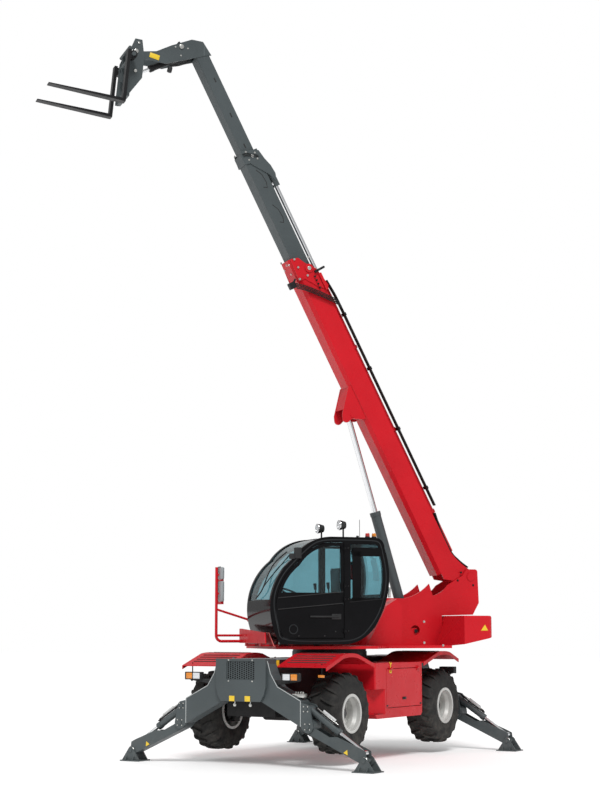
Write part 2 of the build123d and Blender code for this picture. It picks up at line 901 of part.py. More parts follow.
roof_line = 3500
full_height = (1000, roof_line)
whole = ((-900, 1900), full_height)
above_sill = (sill_height + 20, roof_line)
pane_heights = (sill_height + 20 + pin_gap, roof_line)
cab_width = cab_left - cab_right
room_width = cab_left - ring_depth - cab_right - cab_wall
screen_left = cab_left - ring_depth - 15
with BuildPart() as cab_frame:
    extrude(cab_sheet(cab_left, 0, *whole).sketch, amount=cab_width)
    room = cab_sheet(cab_left - ring_depth, cab_wall, *whole)
    extrude(room.sketch, amount=room_width, mode=Mode.SUBTRACT)
    # door opening and fixed rear side window
    doorway = cab_sheet(cab_left, ring_width, (post_front, 1900), full_height)
    extrude(doorway.sketch, amount=ring_depth, mode=Mode.SUBTRACT)
    rear_opening = cab_sheet(cab_left, ring_width + 20, (-900, post_rear - 20), above_sill)
    extrude(rear_opening.sketch, amount=ring_depth, mode=Mode.SUBTRACT)
    # right-hand windows, split by a post
    for span in ((post_front + 10, 1900), (-900, post_rear - 10)):
        right_opening = cab_sheet(cab_right + cab_wall, 120, span, above_sill)
        extrude(right_opening.sketch, amount=cab_wall, mode=Mode.SUBTRACT)
    # windscreen and rear window
    with BuildSketch(side(screen_left)):
        with Locations((430 + 500, sill_height + 500)):
            Rectangle(1000, 1000)
    extrude(amount=screen_left - cab_right - 65, mode=Mode.SUBTRACT)
    with BuildSketch(side(cab_left - 150)):
        with Locations((-400, 2560)):
            Rectangle(240, 560)
    extrude(amount=cab_left - cab_right - 300, mode=Mode.SUBTRACT)
    with Locations(*[cab_hinge(height) for height in hinge_heights]):
        add(hinge_fixed.part)
keep(cab_frame, "cab_frame", turret)

with BuildPart() as cab_glass:
    screen = cab_sheet(screen_left - pin_gap, 14, (430 + pin_gap, 1900), (sill_height + pin_gap, roof_line))
    extrude(screen.sketch, amount=screen_left - cab_right - 65 - 2 * pin_gap)
    behind_screen = cab_sheet(cab_left, 14 + glass_thickness, *whole)
    extrude(behind_screen.sketch, amount=cab_width, mode=Mode.SUBTRACT)
    rear_side = cab_sheet(
        cab_left - 15, ring_width + 20 + pin_gap, (-900, post_rear - 20 - pin_gap), pane_heights
    )
    extrude(rear_side.sketch, amount=glass_thickness)
    for span in ((post_front + 10 + pin_gap, 1900), (-900, post_rear - 10 - pin_gap)):
        right_pane = cab_sheet(cab_right + 25, 120 + pin_gap, span, pane_heights)
        extrude(right_pane.sketch, amount=glass_thickness)
    with BuildPart(mode=Mode.PRIVATE) as rear_pane:
        with BuildSketch(side(cab_left - 150 - pin_gap)):
            with Locations((-400, 2560)):
                Rectangle(240, 560 - 2 * pin_gap)
        extrude(amount=cab_left - cab_right - 300 - 2 * pin_gap)
        extrude(cab_sheet(cab_left, 14, *whole).sketch, amount=cab_width, mode=Mode.INTERSECT)
        extrude(behind_screen.sketch, amount=cab_width, mode=Mode.SUBTRACT)
    add(rear_pane.part)
keep(cab_glass, "cab_glass", turret)

door_outer = cab_left - door_recess
with BuildPart() as cab_door:
    leaf = cab_sheet(door_outer, ring_width + door_gap, (post_front + door_gap, 1900), full_height)
    extrude(leaf.sketch, amount=door_thickness)
    window_opening = cab_sheet(
        door_outer, ring_width + door_gap + 45, (post_front + door_gap + 45, 1900), (door_sill, roof_line)
    )
    extrude(window_opening.sketch, amount=door_thickness, mode=Mode.SUBTRACT)
    with Locations(*[cab_hinge(height) for height in hinge_heights]):
        add(hinge_leaf.part)
keep(cab_door, "cab_door", turret)

with BuildPart() as door_window:
    extrude(cab_sheet(
        door_outer - 12,
        ring_width + door_gap + 45 + pin_gap,
        (post_front + door_gap + 45 + pin_gap, 1900),
        (door_sill + pin_gap, roof_line),
    ).sketch, amount=glass_thickness)
keep(door_window, "door_window", turret)

seat_x = (cab_left + cab_right) / 2
floor_top = 1585 + cab_wall
seat_forward = 330
cushion_top = floor_top + 480
with BuildPart() as operator_seat:
    with Locations((seat_x, -seat_forward, cushion_top - 55)):
        Box(480, 480, 110)
    with Locations((seat_x, 195 - seat_forward, cushion_top + 260)):
        Box(460, 90, 640)
keep(operator_seat, "operator_seat", turret)

with BuildPart() as cab_controls:
    base_height = cushion_top - 110 - floor_top - pin_gap
    with Locations((seat_x, -seat_forward, floor_top + base_height / 2)):
        Box(360, 300, base_height)
    for hand in (-1, 1):
        with Locations((seat_x + hand * 290, -seat_forward - 60, floor_top + 280)):
            Box(70, 360, 560)
        with Locations((seat_x + hand * 215, -seat_forward - 60, floor_top + 60)):
            Box(90, 240, 60)
    with Locations((seat_x, -920, floor_top + 240)):
        Box(150, 110, 480)
    with Locations((seat_x, -660, floor_top + 20)):
        Box(130, 520, 40)
    column = Plane(origin=(seat_x, -900, floor_top + 470), x_dir=(1, 0, 0), z_dir=(0, 0.45, 1))
    with BuildSketch(column):
        Circle(28)
    extrude(amount=200)
    with BuildSketch(column.offset(190)):
        Circle(185)
        Circle(160, mode=Mode.SUBTRACT)
        Rectangle(330, 34)
    extrude(amount=22)
    inner_space = cab_sheet(cab_left - ring_depth, cab_wall + pin_gap, *whole).sketch
    extrude(inner_space, amount=cab_left - ring_depth - cab_right - cab_wall, mode=Mode.INTERSECT)
keep(cab_controls, "cab_controls", turret)

guard_x = 90
guard_front = 1752
tube_radius = 20
plate_front = 1395
with BuildPart() as front_guard:
    with BuildLine() as guard_path:
        FilletPolyline(
            (guard_x, -guard_front, 2660),
            (guard_x, -guard_front, 1625),
            (guard_x, -plate_front, 1625),
            radius=80,
        )
    with BuildSketch(Plane(origin=(guard_x, -guard_front, 2660), z_dir=(0, 0, -1))):
        Circle(tube_radius)
    sweep(path=guard_path.line)
    with BuildSketch(Plane(origin=(guard_x, -plate_front, 1705), z_dir=(0, -1, 0))):
        Circle(tube_radius * 0.8)
    extrude(amount=guard_front - plate_front)
    with BuildSketch(Plane(origin=(guard_x, -1270, 1925), z_dir=(0, -(guard_front - 1270), 145))):
        Circle(tube_radius * 0.8)
    extrude(amount=hypot(guard_front - 1270, 145))
    with Locations(((guard_x - 30 + cab_right - pin_gap) / 2, -1225, 1920)):
        Box(cab_right - pin_gap - guard_x + 30, 110, 40)
    with BuildSketch(front(-plate_front + 14)):
        with BuildLine():
            Polyline((60, 1600), (60, 1800), (130, 1800), (1120, 1745), (1150, 1600), close=True)
        make_face()
    extrude(amount=16)
    for x in (300, 900):
        with Locations((x, -1262, (deck_top + 1583) / 2)):
            Box(60, 250, 1583 - deck_top)
        with Locations((x, -1375, 1590)):
            Box(60, 20, 60)
    for low, high in ((2460, 2650), (2140, 2440)):
        with Locations((guard_x - 10, -1690, (low + high) / 2)):
            Box(190, 34, high - low)
        with Locations((guard_x, -1722, (low + high) / 2)):
            Box(24, 50, 24)
keep(front_guard, "front_guard", turret)


# ================================================================ boom
def section(size, grow=0, bend=0):
    """Outline of a boom stage, grown by a wall or a gap; bend is the width of its bent lower corners."""
    with BuildSketch() as outline:
        if bend:
            half, top = size[0] / 2 + grow, size[1] / 2 + grow
            cut = bend + 2 * grow * tan(radians(22.5))
            with BuildLine():
                Polyline(
                    (half, top),
                    (half, cut - top),
                    (half - cut, -top),
                    (cut - half, -top),
                    (-half, cut - top),
                    (-half, top),
                    close=True,
                )
            make_face()
        else:
            RectangleRounded(size[0] + 2 * grow, size[1] + 2 * grow, corner_radius + min(grow, 0))
    return outline


def stage_tube(size, wall, span, bend=0):
    """Box section from one station to the next."""
    with BuildPart() as tube:
        with BuildSketch(front(-span[0], -boom_drop)):
            add(section(size, 0, bend).sketch)
            add(section(size, -wall, bend).sketch, mode=Mode.SUBTRACT)
        extrude(amount=span[1] - span[0])
    return tube


def stage_band(outline, inside, start, length):
    """Ring around or inside a stage that carries its wear pads."""
    with BuildPart() as band:
        with BuildSketch(front(-start, -boom_drop)):
            add(outline.sketch)
            Rectangle(inside[0], inside[1], mode=Mode.SUBTRACT)
        extrude(amount=length)
    return band


def side_plates(outline, outer_face, thickness):
    """The same plate on both sides of the boom."""
    with BuildPart() as pair:
        for x in (outer_face, thickness - outer_face):
            with BuildSketch(side(x)):
                with BuildLine():
                    Polyline(*outline, close=True)
                make_face()
            extrude(amount=thickness)
    return pair


outer_inside = (outer_size[0] - 2 * outer_wall, outer_size[1] - 2 * outer_wall)
middle_inside = (middle_size[0] - 2 * middle_wall, middle_size[1] - 2 * middle_wall)
outer_top = -boom_drop + outer_size[1] / 2
outer_bottom = -boom_drop - outer_size[1] / 2
eye_radius = 58
lift_eye_width = 110
collar_back = 5130
collar_skin = 12
# slanted mouth of the first stage: (along the boom, above its pivot line)
mouth_line = [(5487, -437), (5460, -313), (5352, -251), (5199, -117), (5054, -83)]
outer_collar_plate = mouth_line + [
    (4909, -51),
    (4841, -86),
    (4931, -201),
    (5125, -351),
    (5170, -399),
    (5130, -456),
]
middle_collar_plate = [
    (7252, -403),
    (7205, -205),
    (7169, -128),
    (7016, -96),
    (6897, -53),
    (6757, -37),
    (6627, -78),
    (6764, -128),
    (7032, -342),
    (7047, -421),
]

with BuildPart() as boom_outer:
    add(stage_tube(outer_size, outer_wall, outer_span, outer_bend).part)
    wear_gap = (middle_size[0] + 2 * slide_gap, middle_size[1] + 2 * slide_gap)
    collar = section(outer_size, collar_skin, outer_bend)
    add(stage_band(collar, wear_gap, collar_back, outer_span[1] - collar_back).part)
    add(side_plates(outer_collar_plate, outer_size[0] / 2 + 14, 14).part)
    # root: side plates that rise to the pivot
    for x in (outer_size[0] / 2, -outer_size[0] / 2 + 25):
        with BuildSketch(side(x)):
            with BuildLine():
                ThreePointArc((60, 75), (300, -55), (900, outer_top - 6))
                Polyline(
                    (900, outer_top - 6),
                    (1300, outer_top - 6),
                    (1300, outer_bottom + outer_bend + 6),
                    (160, outer_bottom + outer_bend + 6),
                    (-40, -110),
                    (-40, 60),
                    (60, 75),
                )
            make_face()
            Circle(95)
        extrude(amount=25)
    with BuildSketch(front(-outer_span[0], -boom_drop)):
        add(section(outer_size, -outer_wall, outer_bend).sketch)
    extrude(amount=1400 - outer_span[0], mode=Mode.SUBTRACT)
    with BuildSketch(side(outer_size[0] / 2)):
        Circle(80)
    extrude(amount=outer_size[0])
    with BuildSketch(side(outer_size[0] / 2)):
        Circle(45 + pin_gap)
    extrude(amount=outer_size[0], mode=Mode.SUBTRACT)
    # slanted mouth, nesting with the next stage's side plates
    with BuildSketch(side(outer_size[0])):
        with BuildLine():
            Polyline(*mouth_line, (mouth_line[-1][0], 60), (5700, 60), (5700, mouth_line[0][1]), close=True)
        make_face()
    extrude(amount=2 * outer_size[0], mode=Mode.SUBTRACT)
    # lift cylinder bracket: cheeks that straddle the barrel, a web clear of the rod's eye and pin stubs
    bracket_in = 150
    bracket_plate = 22
    for x in (bracket_in + bracket_plate, -bracket_in):
        with BuildSketch(side(x)):
            with BuildLine():
                Polyline(
                    (lift_pin[0] - 126, outer_bottom + 30),
                    (lift_pin[0] - 126, outer_bottom - 14),
                    (lift_pin[0] - 35, lift_pin[1] - 36),
                    (lift_pin[0] - 57, lift_pin[1] - 100),
                )
                ThreePointArc(
                    (lift_pin[0] - 57, lift_pin[1] - 100),
                    (lift_pin[0] - 40, lift_pin[1] - 152),
                    (lift_pin[0] + 12, lift_pin[1] - 170),
                )
                Polyline(
                    (lift_pin[0] + 12, lift_pin[1] - 170),
                    (lift_pin[0] + 90, lift_pin[1] - 140),
                    (lift_pin[0] + 418, outer_bottom - 2),
                    (lift_pin[0] + 418, outer_bottom + 30),
                    (lift_pin[0] - 126, outer_bottom + 30),
                )
            make_face()
        extrude(amount=bracket_plate)
    with BuildSketch(side(bracket_in)):
        with BuildLine():
            Polyline(
                (lift_pin[0] + 138.2, lift_pin[1] - 74.2),
                (lift_pin[0] + 147.4, lift_pin[1] - 84.8),
                (lift_pin[0] + 419.5, outer_bottom + 4.5),
                (lift_pin[0] + 398.1, outer_bottom + 4.5),
                close=True,
            )
        make_face()
    extrude(amount=2 * bracket_in)
    for x in (bracket_in + bracket_plate + 8, -lift_eye_width / 2 - side_gap):
        with BuildSketch(side(x)):
            with Locations(lift_pin):
                Circle(32)
        extrude(amount=bracket_in + bracket_plate + 8 - lift_eye_width / 2 - side_gap)
    with BuildSketch(front(-outer_span[0], -boom_drop)):
        add(section(outer_size, -outer_wall, outer_bend).sketch)
    extrude(amount=lift_pin[0] + 500 - outer_span[0], mode=Mode.SUBTRACT)
    # rings that hold the extension cylinder
    for at in (1100, 2480, 3860, 4900):
        with BuildSketch(front(-at, 0)):
            with Locations((0, outer_top + 62)):
                Circle(72)
            with Locations((0, outer_top + 10)):
                Rectangle(130, 24)
            make_hull()
            with Locations((0, outer_top + 62)):
                Circle(56, mode=Mode.SUBTRACT)
        extrude(amount=50)
keep(boom_outer, "boom_outer", boom)

ext_height = outer_top + 62
ext_start = 450
ext_end = 5060
middle_lug = 6640
with BuildPart() as extension_barrel:
    with BuildSketch(front(-ext_start, ext_height)):
        Circle(56)
    extrude(amount=ext_end - ext_start)
    with BuildSketch(front(-ext_start - 30, ext_height)):
        Circle(46)
    extrude(amount=ext_end - ext_start - 80, mode=Mode.SUBTRACT)
    with BuildSketch(front(-ext_start - 40, ext_height)):
        Circle(32 + pin_gap)
    extrude(amount=ext_end - ext_start, mode=Mode.SUBTRACT)
keep(extension_barrel, "extension_barrel", boom)

with BuildPart() as boom_middle:
    add(stage_tube(middle_size, middle_wall, middle_span).part)
    rear_band = section(outer_size, -outer_wall - slide_gap, outer_bend)
    add(stage_band(rear_band, middle_inside, middle_span[0], 160).part)
    middle_collar = (middle_size[0] + 30, middle_size[1] + 30)
    middle_collar_length = middle_span[1] - 7047
    lug_under = outer_top + 12 + 8
    collar_start = middle_span[1] - middle_collar_length
    collar_bore = (inner_size[0] + 2 * slide_gap, inner_size[1] + 2 * slide_gap)
    add(stage_band(section(middle_collar), collar_bore, collar_start, middle_collar_length).part)
    add(side_plates(middle_collar_plate, middle_collar[0] / 2, 15).part)
    # lug behind the collar that takes the extension rod
    for x in (48, -36):
        with BuildSketch(side(x)):
            with BuildLine():
                Polyline(
                    (middle_lug - 60, lug_under),
                    (middle_lug - 60, ext_height + 45),
                    (middle_lug + 60, ext_height + 45),
                    (middle_span[1] - 10, -boom_drop + middle_collar[1] / 2 + 28),
                    (middle_span[1] - 10, -boom_drop + middle_collar[1] / 2 - 4),
                    (middle_span[1] - middle_collar_length - 65, -boom_drop + middle_size[1] / 2 - 2),
                    (middle_span[1] - middle_collar_length - 65, lug_under),
                    close=True,
                )
            make_face()
        extrude(amount=12)
    with BuildSketch(side(48)):
        with Locations((middle_lug, ext_height)):
            Circle(22)
    extrude(amount=96)
keep(boom_middle, "boom_middle", boom)

with BuildPart() as extension_rod:
    with BuildSketch(front(-2150, ext_height)):
        Circle(32)
    extrude(amount=middle_lug - 25 - 2150)
    with BuildSketch(front(-2150, ext_height)):
        Circle(45.6)
    extrude(amount=50)
    with BuildSketch(side(32)):
        with Locations((middle_lug, ext_height)):
            Circle(40)
    extrude(amount=64)
    with BuildSketch(side(32)):
        with Locations((middle_lug, ext_height)):
            Circle(22 + pin_gap)
    extrude(amount=64, mode=Mode.SUBTRACT)
keep(extension_rod, "extension_rod", boom)

head_outline = [
    # (along the boom, above its pivot line)
    (8740, -151),
    (8973, -179),
    (9065, -328),
    (9092, -671),
    (9091, -925),
    (9171, -1156),
    (9215, -1230),
    (9125, -1310),
    (9077, -1213),
    (8868, -864),
    (8841, -695),
    (8762, -212),
]
head_half = 130
head_plate = 16
tilt_base = (8905, -470)
with BuildPart() as boom_inner:
    add(stage_tube(inner_size, inner_wall, inner_span).part)
    rear_band = section(middle_size, -middle_wall - slide_gap)
    inner_inside = (inner_size[0] - 2 * inner_wall, inner_size[1] - 2 * inner_wall)
    add(stage_band(rear_band, inner_inside, inner_span[0], 140).part)
    for x in (head_half, -head_half + head_plate):
        with BuildSketch(side(x)):
            with BuildLine():
                Polyline(*head_outline, close=True)
            make_face()
            with Locations(head_pin):
                Circle(60)
        extrude(amount=head_plate)
    # top web and end wall of the gooseneck
    with BuildSketch(side(head_half)):
        with BuildLine():
            Polyline(
                (8790, -157),
                (8968, -179),
                (9058, -330),
                (9085, -671),
                (9070, -671),
                (9043, -336),
                (8960, -194),
                (8790, -172),
                close=True,
            )
        make_face()
    extrude(amount=2 * head_half)
    with BuildSketch(side(head_half + 35)):
        with Locations(head_pin):
            Circle(32)
    extrude(amount=2 * head_half + 70)
    with BuildSketch(side(head_half)):
        with Locations(tilt_base):
            Circle(25)
    extrude(amount=2 * head_half)
keep(boom_inner, "boom_inner", boom)

# ================================================================ lift cylinder, in the turret's frame
boom_rad = radians(boom_angle)
lift_top = (
    -pivot_back + lift_pin[0] * cos(boom_rad) - lift_pin[1] * sin(boom_rad),
    pivot_height + lift_pin[0] * sin(boom_rad) + lift_pin[1] * cos(boom_rad),
)
lift_length = hypot(lift_top[0] - lift_base[0], lift_top[1] - lift_base[1])
lift_slope = atan2(lift_top[1] - lift_base[1], lift_top[0] - lift_base[0])


def lift_plan(offset_x):
    return Plane(
        origin=(boom_offset + offset_x, -lift_base[0], lift_base[1]),
        x_dir=(0, -cos(lift_slope), sin(lift_slope)),
        z_dir=(-1, 0, 0),
    )


def lift_square(distance):
    return Plane(
        origin=(
            boom_offset,
            -lift_base[0] - distance * cos(lift_slope),
            lift_base[1] + distance * sin(lift_slope),
        ),
        x_dir=(1, 0, 0),
        z_dir=(0, -cos(lift_slope), sin(lift_slope)),
    )


lift_barrel_length = 1860
lift_barrel = cylinder_barrel(
    lift_plan, lift_square, 70, 140, 40, lift_barrel_radius, 62, lift_rod_radius + pin_gap, lift_barrel_length
)
keep(lift_barrel, "lift_cylinder", turret)
lift_rod = cylinder_rod(
    lift_plan, lift_square, lift_length, eye_radius, lift_eye_width, lift_rod_radius, 61.6, 1600
)
keep(lift_rod, "lift_rod", turret)

# ================================================================ carriage and forks, in the carriage's frame
tilt_pin = (-95, -250)
tilt_eye_width = 70
link_in = head_half + side_gap
link_plate = 20
shaft = (75, -130)
shaft_half = carriage_half_width + 220
with BuildPart() as fork_carriage:
    for x in (carriage_half_width, -carriage_half_width + 25):
        with BuildSketch(side(x)):
            with BuildLine():
                Polyline(
                    (-75, 190),
                    (30, 190),
                    (110, -60),
                    (110, -700),
                    (60, -700),
                    (-130, -385),
                    (-130, -60),
                    close=True,
                )
            make_face()
        extrude(amount=25)
    for x in (link_in + link_plate, -link_in):
        with BuildSketch(side(x)):
            Circle(60)
            with Locations(tilt_pin):
                Circle(50)
            with Locations((60, -330), (60, 60)):
                Circle(40)
            make_hull()
            Circle(32 + pin_gap, mode=Mode.SUBTRACT)
        extrude(amount=link_plate)
    with BuildSketch(side(shaft_half)):
        with Locations(shaft):
            Circle(30)
    extrude(amount=2 * shaft_half)
    with BuildSketch(side(carriage_half_width)):
        with Locations((60, -650)):
            Rectangle(60, 90)
        with Locations((95, 40)):
            Circle(24)
    extrude(amount=2 * carriage_half_width)
    for x in (link_in + 1, -tilt_eye_width / 2 - side_gap):
        with BuildSketch(side(x)):
            with Locations(tilt_pin):
                Circle(26)
        extrude(amount=link_in + 1 - tilt_eye_width / 2 - side_gap)
keep(fork_carriage, "fork_carriage", carriage)

tine_top = -810
with BuildPart() as forks:
    for hand in (-1, 1):
        with BuildSketch(side(hand * fork_spacing / 2 + fork_width / 2)):
            with BuildLine():
                Polyline(
                    (115, -60),
                    (115, tine_top - fork_thickness),
                    (160, tine_top - fork_thickness),
                    (115 + fork_length, tine_top - 14),
                    (115 + fork_length, tine_top),
                    (160, tine_top),
                    (160, -60),
                    close=True,
                )
            make_face()
            with Locations((75, -130)):
                Circle(58)
            with Locations((115, -130)):
                Rectangle(80, 90)
        extrude(amount=fork_width)
        with BuildSketch(side(hand * fork_spacing / 2 + fork_width / 2)):
            with Locations((75, -130)):
                Circle(30 + pin_gap)
        extrude(amount=fork_width, mode=Mode.SUBTRACT)
keep(forks, "forks", carriage)

# ================================================================ tilt cylinder, in the boom's frame
tilt_rad = radians(boom_angle - fork_tilt)
tilt_top = (
    head_pin[0] + tilt_pin[0] * cos(-tilt_rad) - tilt_pin[1] * sin(-tilt_rad),
    head_pin[1] + tilt_pin[0] * sin(-tilt_rad) + tilt_pin[1] * cos(-tilt_rad),
)
tilt_length = hypot(tilt_top[0] - tilt_base[0], tilt_top[1] - tilt_base[1])
tilt_slope = atan2(tilt_top[1] - tilt_base[1], tilt_top[0] - tilt_base[0])


def tilt_plan(offset_x):
    return Plane(
        origin=(offset_x, -tilt_base[0], tilt_base[1]),
        x_dir=(0, -cos(tilt_slope), sin(tilt_slope)),
        z_dir=(-1, 0, 0),
    )


def tilt_square(distance):
    return Plane(
        origin=(0, -tilt_base[0] - distance * cos(tilt_slope), tilt_base[1] + distance * sin(tilt_slope)),
        x_dir=(1, 0, 0),
        z_dir=(0, -cos(tilt_slope), sin(tilt_slope)),
    )


tilt_barrel = cylinder_barrel(tilt_plan, tilt_square, 44, 90, 25, 46, 36, 25 + pin_gap, 630)
keep(tilt_barrel, "tilt_cylinder", boom)
tilt_rod = cylinder_rod(tilt_plan, tilt_square, tilt_length, 38, tilt_eye_width, 25, 35.6, 250)
keep(tilt_rod, "tilt_rod", boom)

# ================================================ centre the machine over its box and write it
boxes = [piece.bounding_box() for piece in pieces.values()]
centre_x = (min(b.min.X for b in boxes) + max(b.max.X for b in boxes)) / 2
centre_y = (min(b.min.Y for b in boxes) + max(b.max.Y for b in boxes)) / 2
centred = Location((-centre_x, -centre_y, 0))
os.makedirs("parts", exist_ok=True)
for node, piece in pieces.items():
    placed = centred * piece
    placed.label = node
    export_step(placed, f"parts/{node}.step")
print(len(pieces), "pieces", "centre", round(centre_x, 1), round(centre_y, 1))
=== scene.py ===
"""Rotating telehandler: finishes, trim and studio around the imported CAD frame."""
import json
from math import cos, pi, radians, sin

import bmesh
import bpy
from bpy.props import FloatProperty, FloatVectorProperty, IntProperty, PointerProperty
from bpy.types import Operator, Panel, PropertyGroup
from mathutils import Matrix, Vector


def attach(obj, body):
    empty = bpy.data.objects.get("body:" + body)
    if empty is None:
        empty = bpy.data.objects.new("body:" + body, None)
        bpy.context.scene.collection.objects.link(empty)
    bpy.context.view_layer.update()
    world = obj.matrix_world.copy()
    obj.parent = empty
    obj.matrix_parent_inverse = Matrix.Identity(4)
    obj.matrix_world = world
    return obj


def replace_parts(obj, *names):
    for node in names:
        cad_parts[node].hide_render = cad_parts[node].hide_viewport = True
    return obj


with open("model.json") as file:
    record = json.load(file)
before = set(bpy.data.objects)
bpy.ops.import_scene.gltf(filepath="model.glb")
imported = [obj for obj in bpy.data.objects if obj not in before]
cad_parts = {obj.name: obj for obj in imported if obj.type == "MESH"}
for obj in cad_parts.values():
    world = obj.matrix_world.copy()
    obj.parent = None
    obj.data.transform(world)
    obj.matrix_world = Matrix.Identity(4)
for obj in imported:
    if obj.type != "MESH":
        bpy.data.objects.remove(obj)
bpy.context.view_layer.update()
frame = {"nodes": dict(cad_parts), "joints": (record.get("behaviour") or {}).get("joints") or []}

bl_info = {
    "name": "Rotating Telehandler",
    "version": (1, 0, 0),
    "blender": (4, 5, 0),
    "location": "View3D > Sidebar > Telehandler",
    "description": "Finishes, trim and studio for a slewing telehandler on stabiliser legs",
    "category": "Object",
}

JOINTS = {joint["name"]: joint for joint in frame["joints"]}
CORNERS = ("front_left", "front_right", "rear_left", "rear_right")
FORK_TILT = radians(-5.3)


# ------------------------------------------------------------------ working frames
# Each machine part is drawn in its own frame, in metres: x to its left, y to its rear, z up
# or away from the boom's underside, and is then turned to where it is parked.
def pivot(joint):
    """Where a joint's axis stands."""
    return Vector(JOINTS[joint]["pos_m"])


def frame_from(origin, left, rear):
    """Placement with the given left and rear directions."""
    left, rear = left.normalized(), rear.normalized()
    turn = Matrix((left, rear, left.cross(rear))).transposed()
    return Matrix.Translation(origin) @ turn.to_4x4()


SLEW_CENTRE = Vector((*pivot("slew").xy, 0))
TURRET_LEFT = -Vector(JOINTS["boom_lift"]["axis"])
TURRET_REAR = Vector((0, 0, 1)).cross(TURRET_LEFT)
MACHINE = Matrix.Translation(SLEW_CENTRE)
TURRET = frame_from(SLEW_CENTRE, TURRET_LEFT, TURRET_REAR)
BOOM = frame_from(pivot("boom_lift"), TURRET_LEFT, -Vector(JOINTS["boom_extend"]["axis"]))
CARRIAGE = frame_from(pivot("carriage_tilt"), TURRET_LEFT, TURRET_REAR) @ Matrix.Rotation(FORK_TILT, 4, "X")


def wheel_frame(corner):
    """Frame of one wheel, with x along its axle, pointing outwards."""
    outward = Vector((1 if corner.endswith("left") else -1, 0, 0))
    return frame_from(pivot(corner + "_wheel_spin"), outward, Vector((0, outward.x, 0)))


# ------------------------------------------------------------------ mesh tools
def piece(name, bm, place, body, material, crease=radians(32)):
    """Turn a finished bmesh into a piece that stands at the origin and rides on its CAD body."""
    bm.transform(place)
    bmesh.ops.recalc_face_normals(bm, faces=bm.faces)
    mesh = bpy.data.meshes.new(name)
    bm.to_mesh(mesh)
    bm.free()
    mesh.shade_smooth()
    mesh.set_sharp_from_angle(angle=crease)
    mesh.materials.append(material)
    obj = bpy.data.objects.new(name, mesh)
    bpy.context.scene.collection.objects.link(obj)
    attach(obj, body)
    return obj


def edges_of(verts):
    """Every edge that touches these vertices."""
    return list({edge for vert in verts for edge in vert.link_edges})


def soften(bm, edges, width, segments=2):
    """Round the given edges, unless the width is nought."""
    if not width:
        return
    bmesh.ops.bevel(
        bm, geom=edges, offset=width, offset_type="OFFSET", segments=segments,
        profile=0.5, affect="EDGES", clamp_overlap=True, material=-1,
    )


def turned(origin, direction):
    """Placement at origin with z along direction."""
    return Matrix.Translation(origin) @ Vector(direction).to_track_quat("Z", "Y").to_matrix().to_4x4()


def block(bm, centre, size, round_off=0.004, turn=Matrix(), segments=2):
    """Box with rounded edges."""
    place = Matrix.Translation(centre) @ turn @ Matrix.Diagonal((*size, 1))
    verts = bmesh.ops.create_cube(bm, size=1, matrix=place)["verts"]
    soften(bm, edges_of(verts), round_off, segments)


def rod(bm, start, end, radius, segments=20, round_off=0.0, end_radius=None):
    """Round bar, disc or cone between two points, with its rims rounded if asked."""
    start, end = Vector(start), Vector(end)
    verts = bmesh.ops.create_cone(
        bm, cap_ends=True, segments=segments, radius1=radius,
        radius2=radius if end_radius is None else end_radius,
        depth=(end - start).length, matrix=turned((start + end) / 2, end - start),
    )["verts"]
    if round_off:
        rims = [e for e in edges_of(verts) if any(len(f.verts) > 4 for f in e.link_faces)]
        soften(bm, rims, round_off)


def bolt(bm, foot, direction, size=0.014):
    """Hexagon head on a washer."""
    foot, direction = Vector(foot), Vector(direction).normalized()
    rod(bm, foot - direction * 0.004, foot + direction * size * 0.22, size * 1.25, 14)
    rod(bm, foot, foot + direction * size * 0.9, size, 6, end_radius=size * 0.94)


def plate(bm, outline, thickness, place, round_off=0.002):
    """Plate cut to an outline in the placement's x and y, thickened along its z."""
    verts = [bm.verts.new(place @ Vector((x, y, 0))) for x, y in outline]
    face = bm.faces.new(verts)
    made = bmesh.ops.extrude_face_region(bm, geom=[face])["geom"]
    moved = [item for item in made if isinstance(item, bmesh.types.BMVert)]
    bmesh.ops.translate(bm, vec=place.to_3x3() @ Vector((0, 0, thickness)), verts=moved)
    if round_off:
        soften(bm, edges_of(verts + moved), round_off, 1)


def spun(bm, profile, steps, axis=(1, 0, 0)):
    """Closed ring or dish turned from a profile of (along, radius) pairs about the frame's x."""
    verts = [bm.verts.new((along, 0, radius)) for along, radius in profile]
    edges = [bm.edges.new(pair) for pair in zip(verts, verts[1:])]
    bmesh.ops.spin(
        bm, geom=verts + edges, cent=(0, 0, 0), axis=axis, angle=2 * pi,
        steps=steps, use_merge=True, use_duplicate=False,
    )
    bmesh.ops.remove_doubles(bm, verts=bm.verts, dist=1e-5)


def spun_at(bm, profile, steps, place):
    """Turned ring, added to a mesh at a placement."""
    part = bmesh.new()
    spun(part, profile, steps)
    part.transform(place)
    made = bpy.data.meshes.new("ring")
    part.to_mesh(made)
    part.free()
    bm.from_mesh(made)
    bpy.data.meshes.remove(made)


def strip_along(bm, start, end, width, thick, up=(0, 0, 1), round_off=0.001):
    """Flat bar between two points, its thickness along up."""
    start, end = Vector(start), Vector(end)
    along = (end - start).normalized()
    across = Vector(up).cross(along).normalized()
    turn = Matrix((along, across, along.cross(across))).transposed().to_4x4()
    block(bm, (start + end) / 2, ((end - start).length, width, thick), round_off, turn, 1)


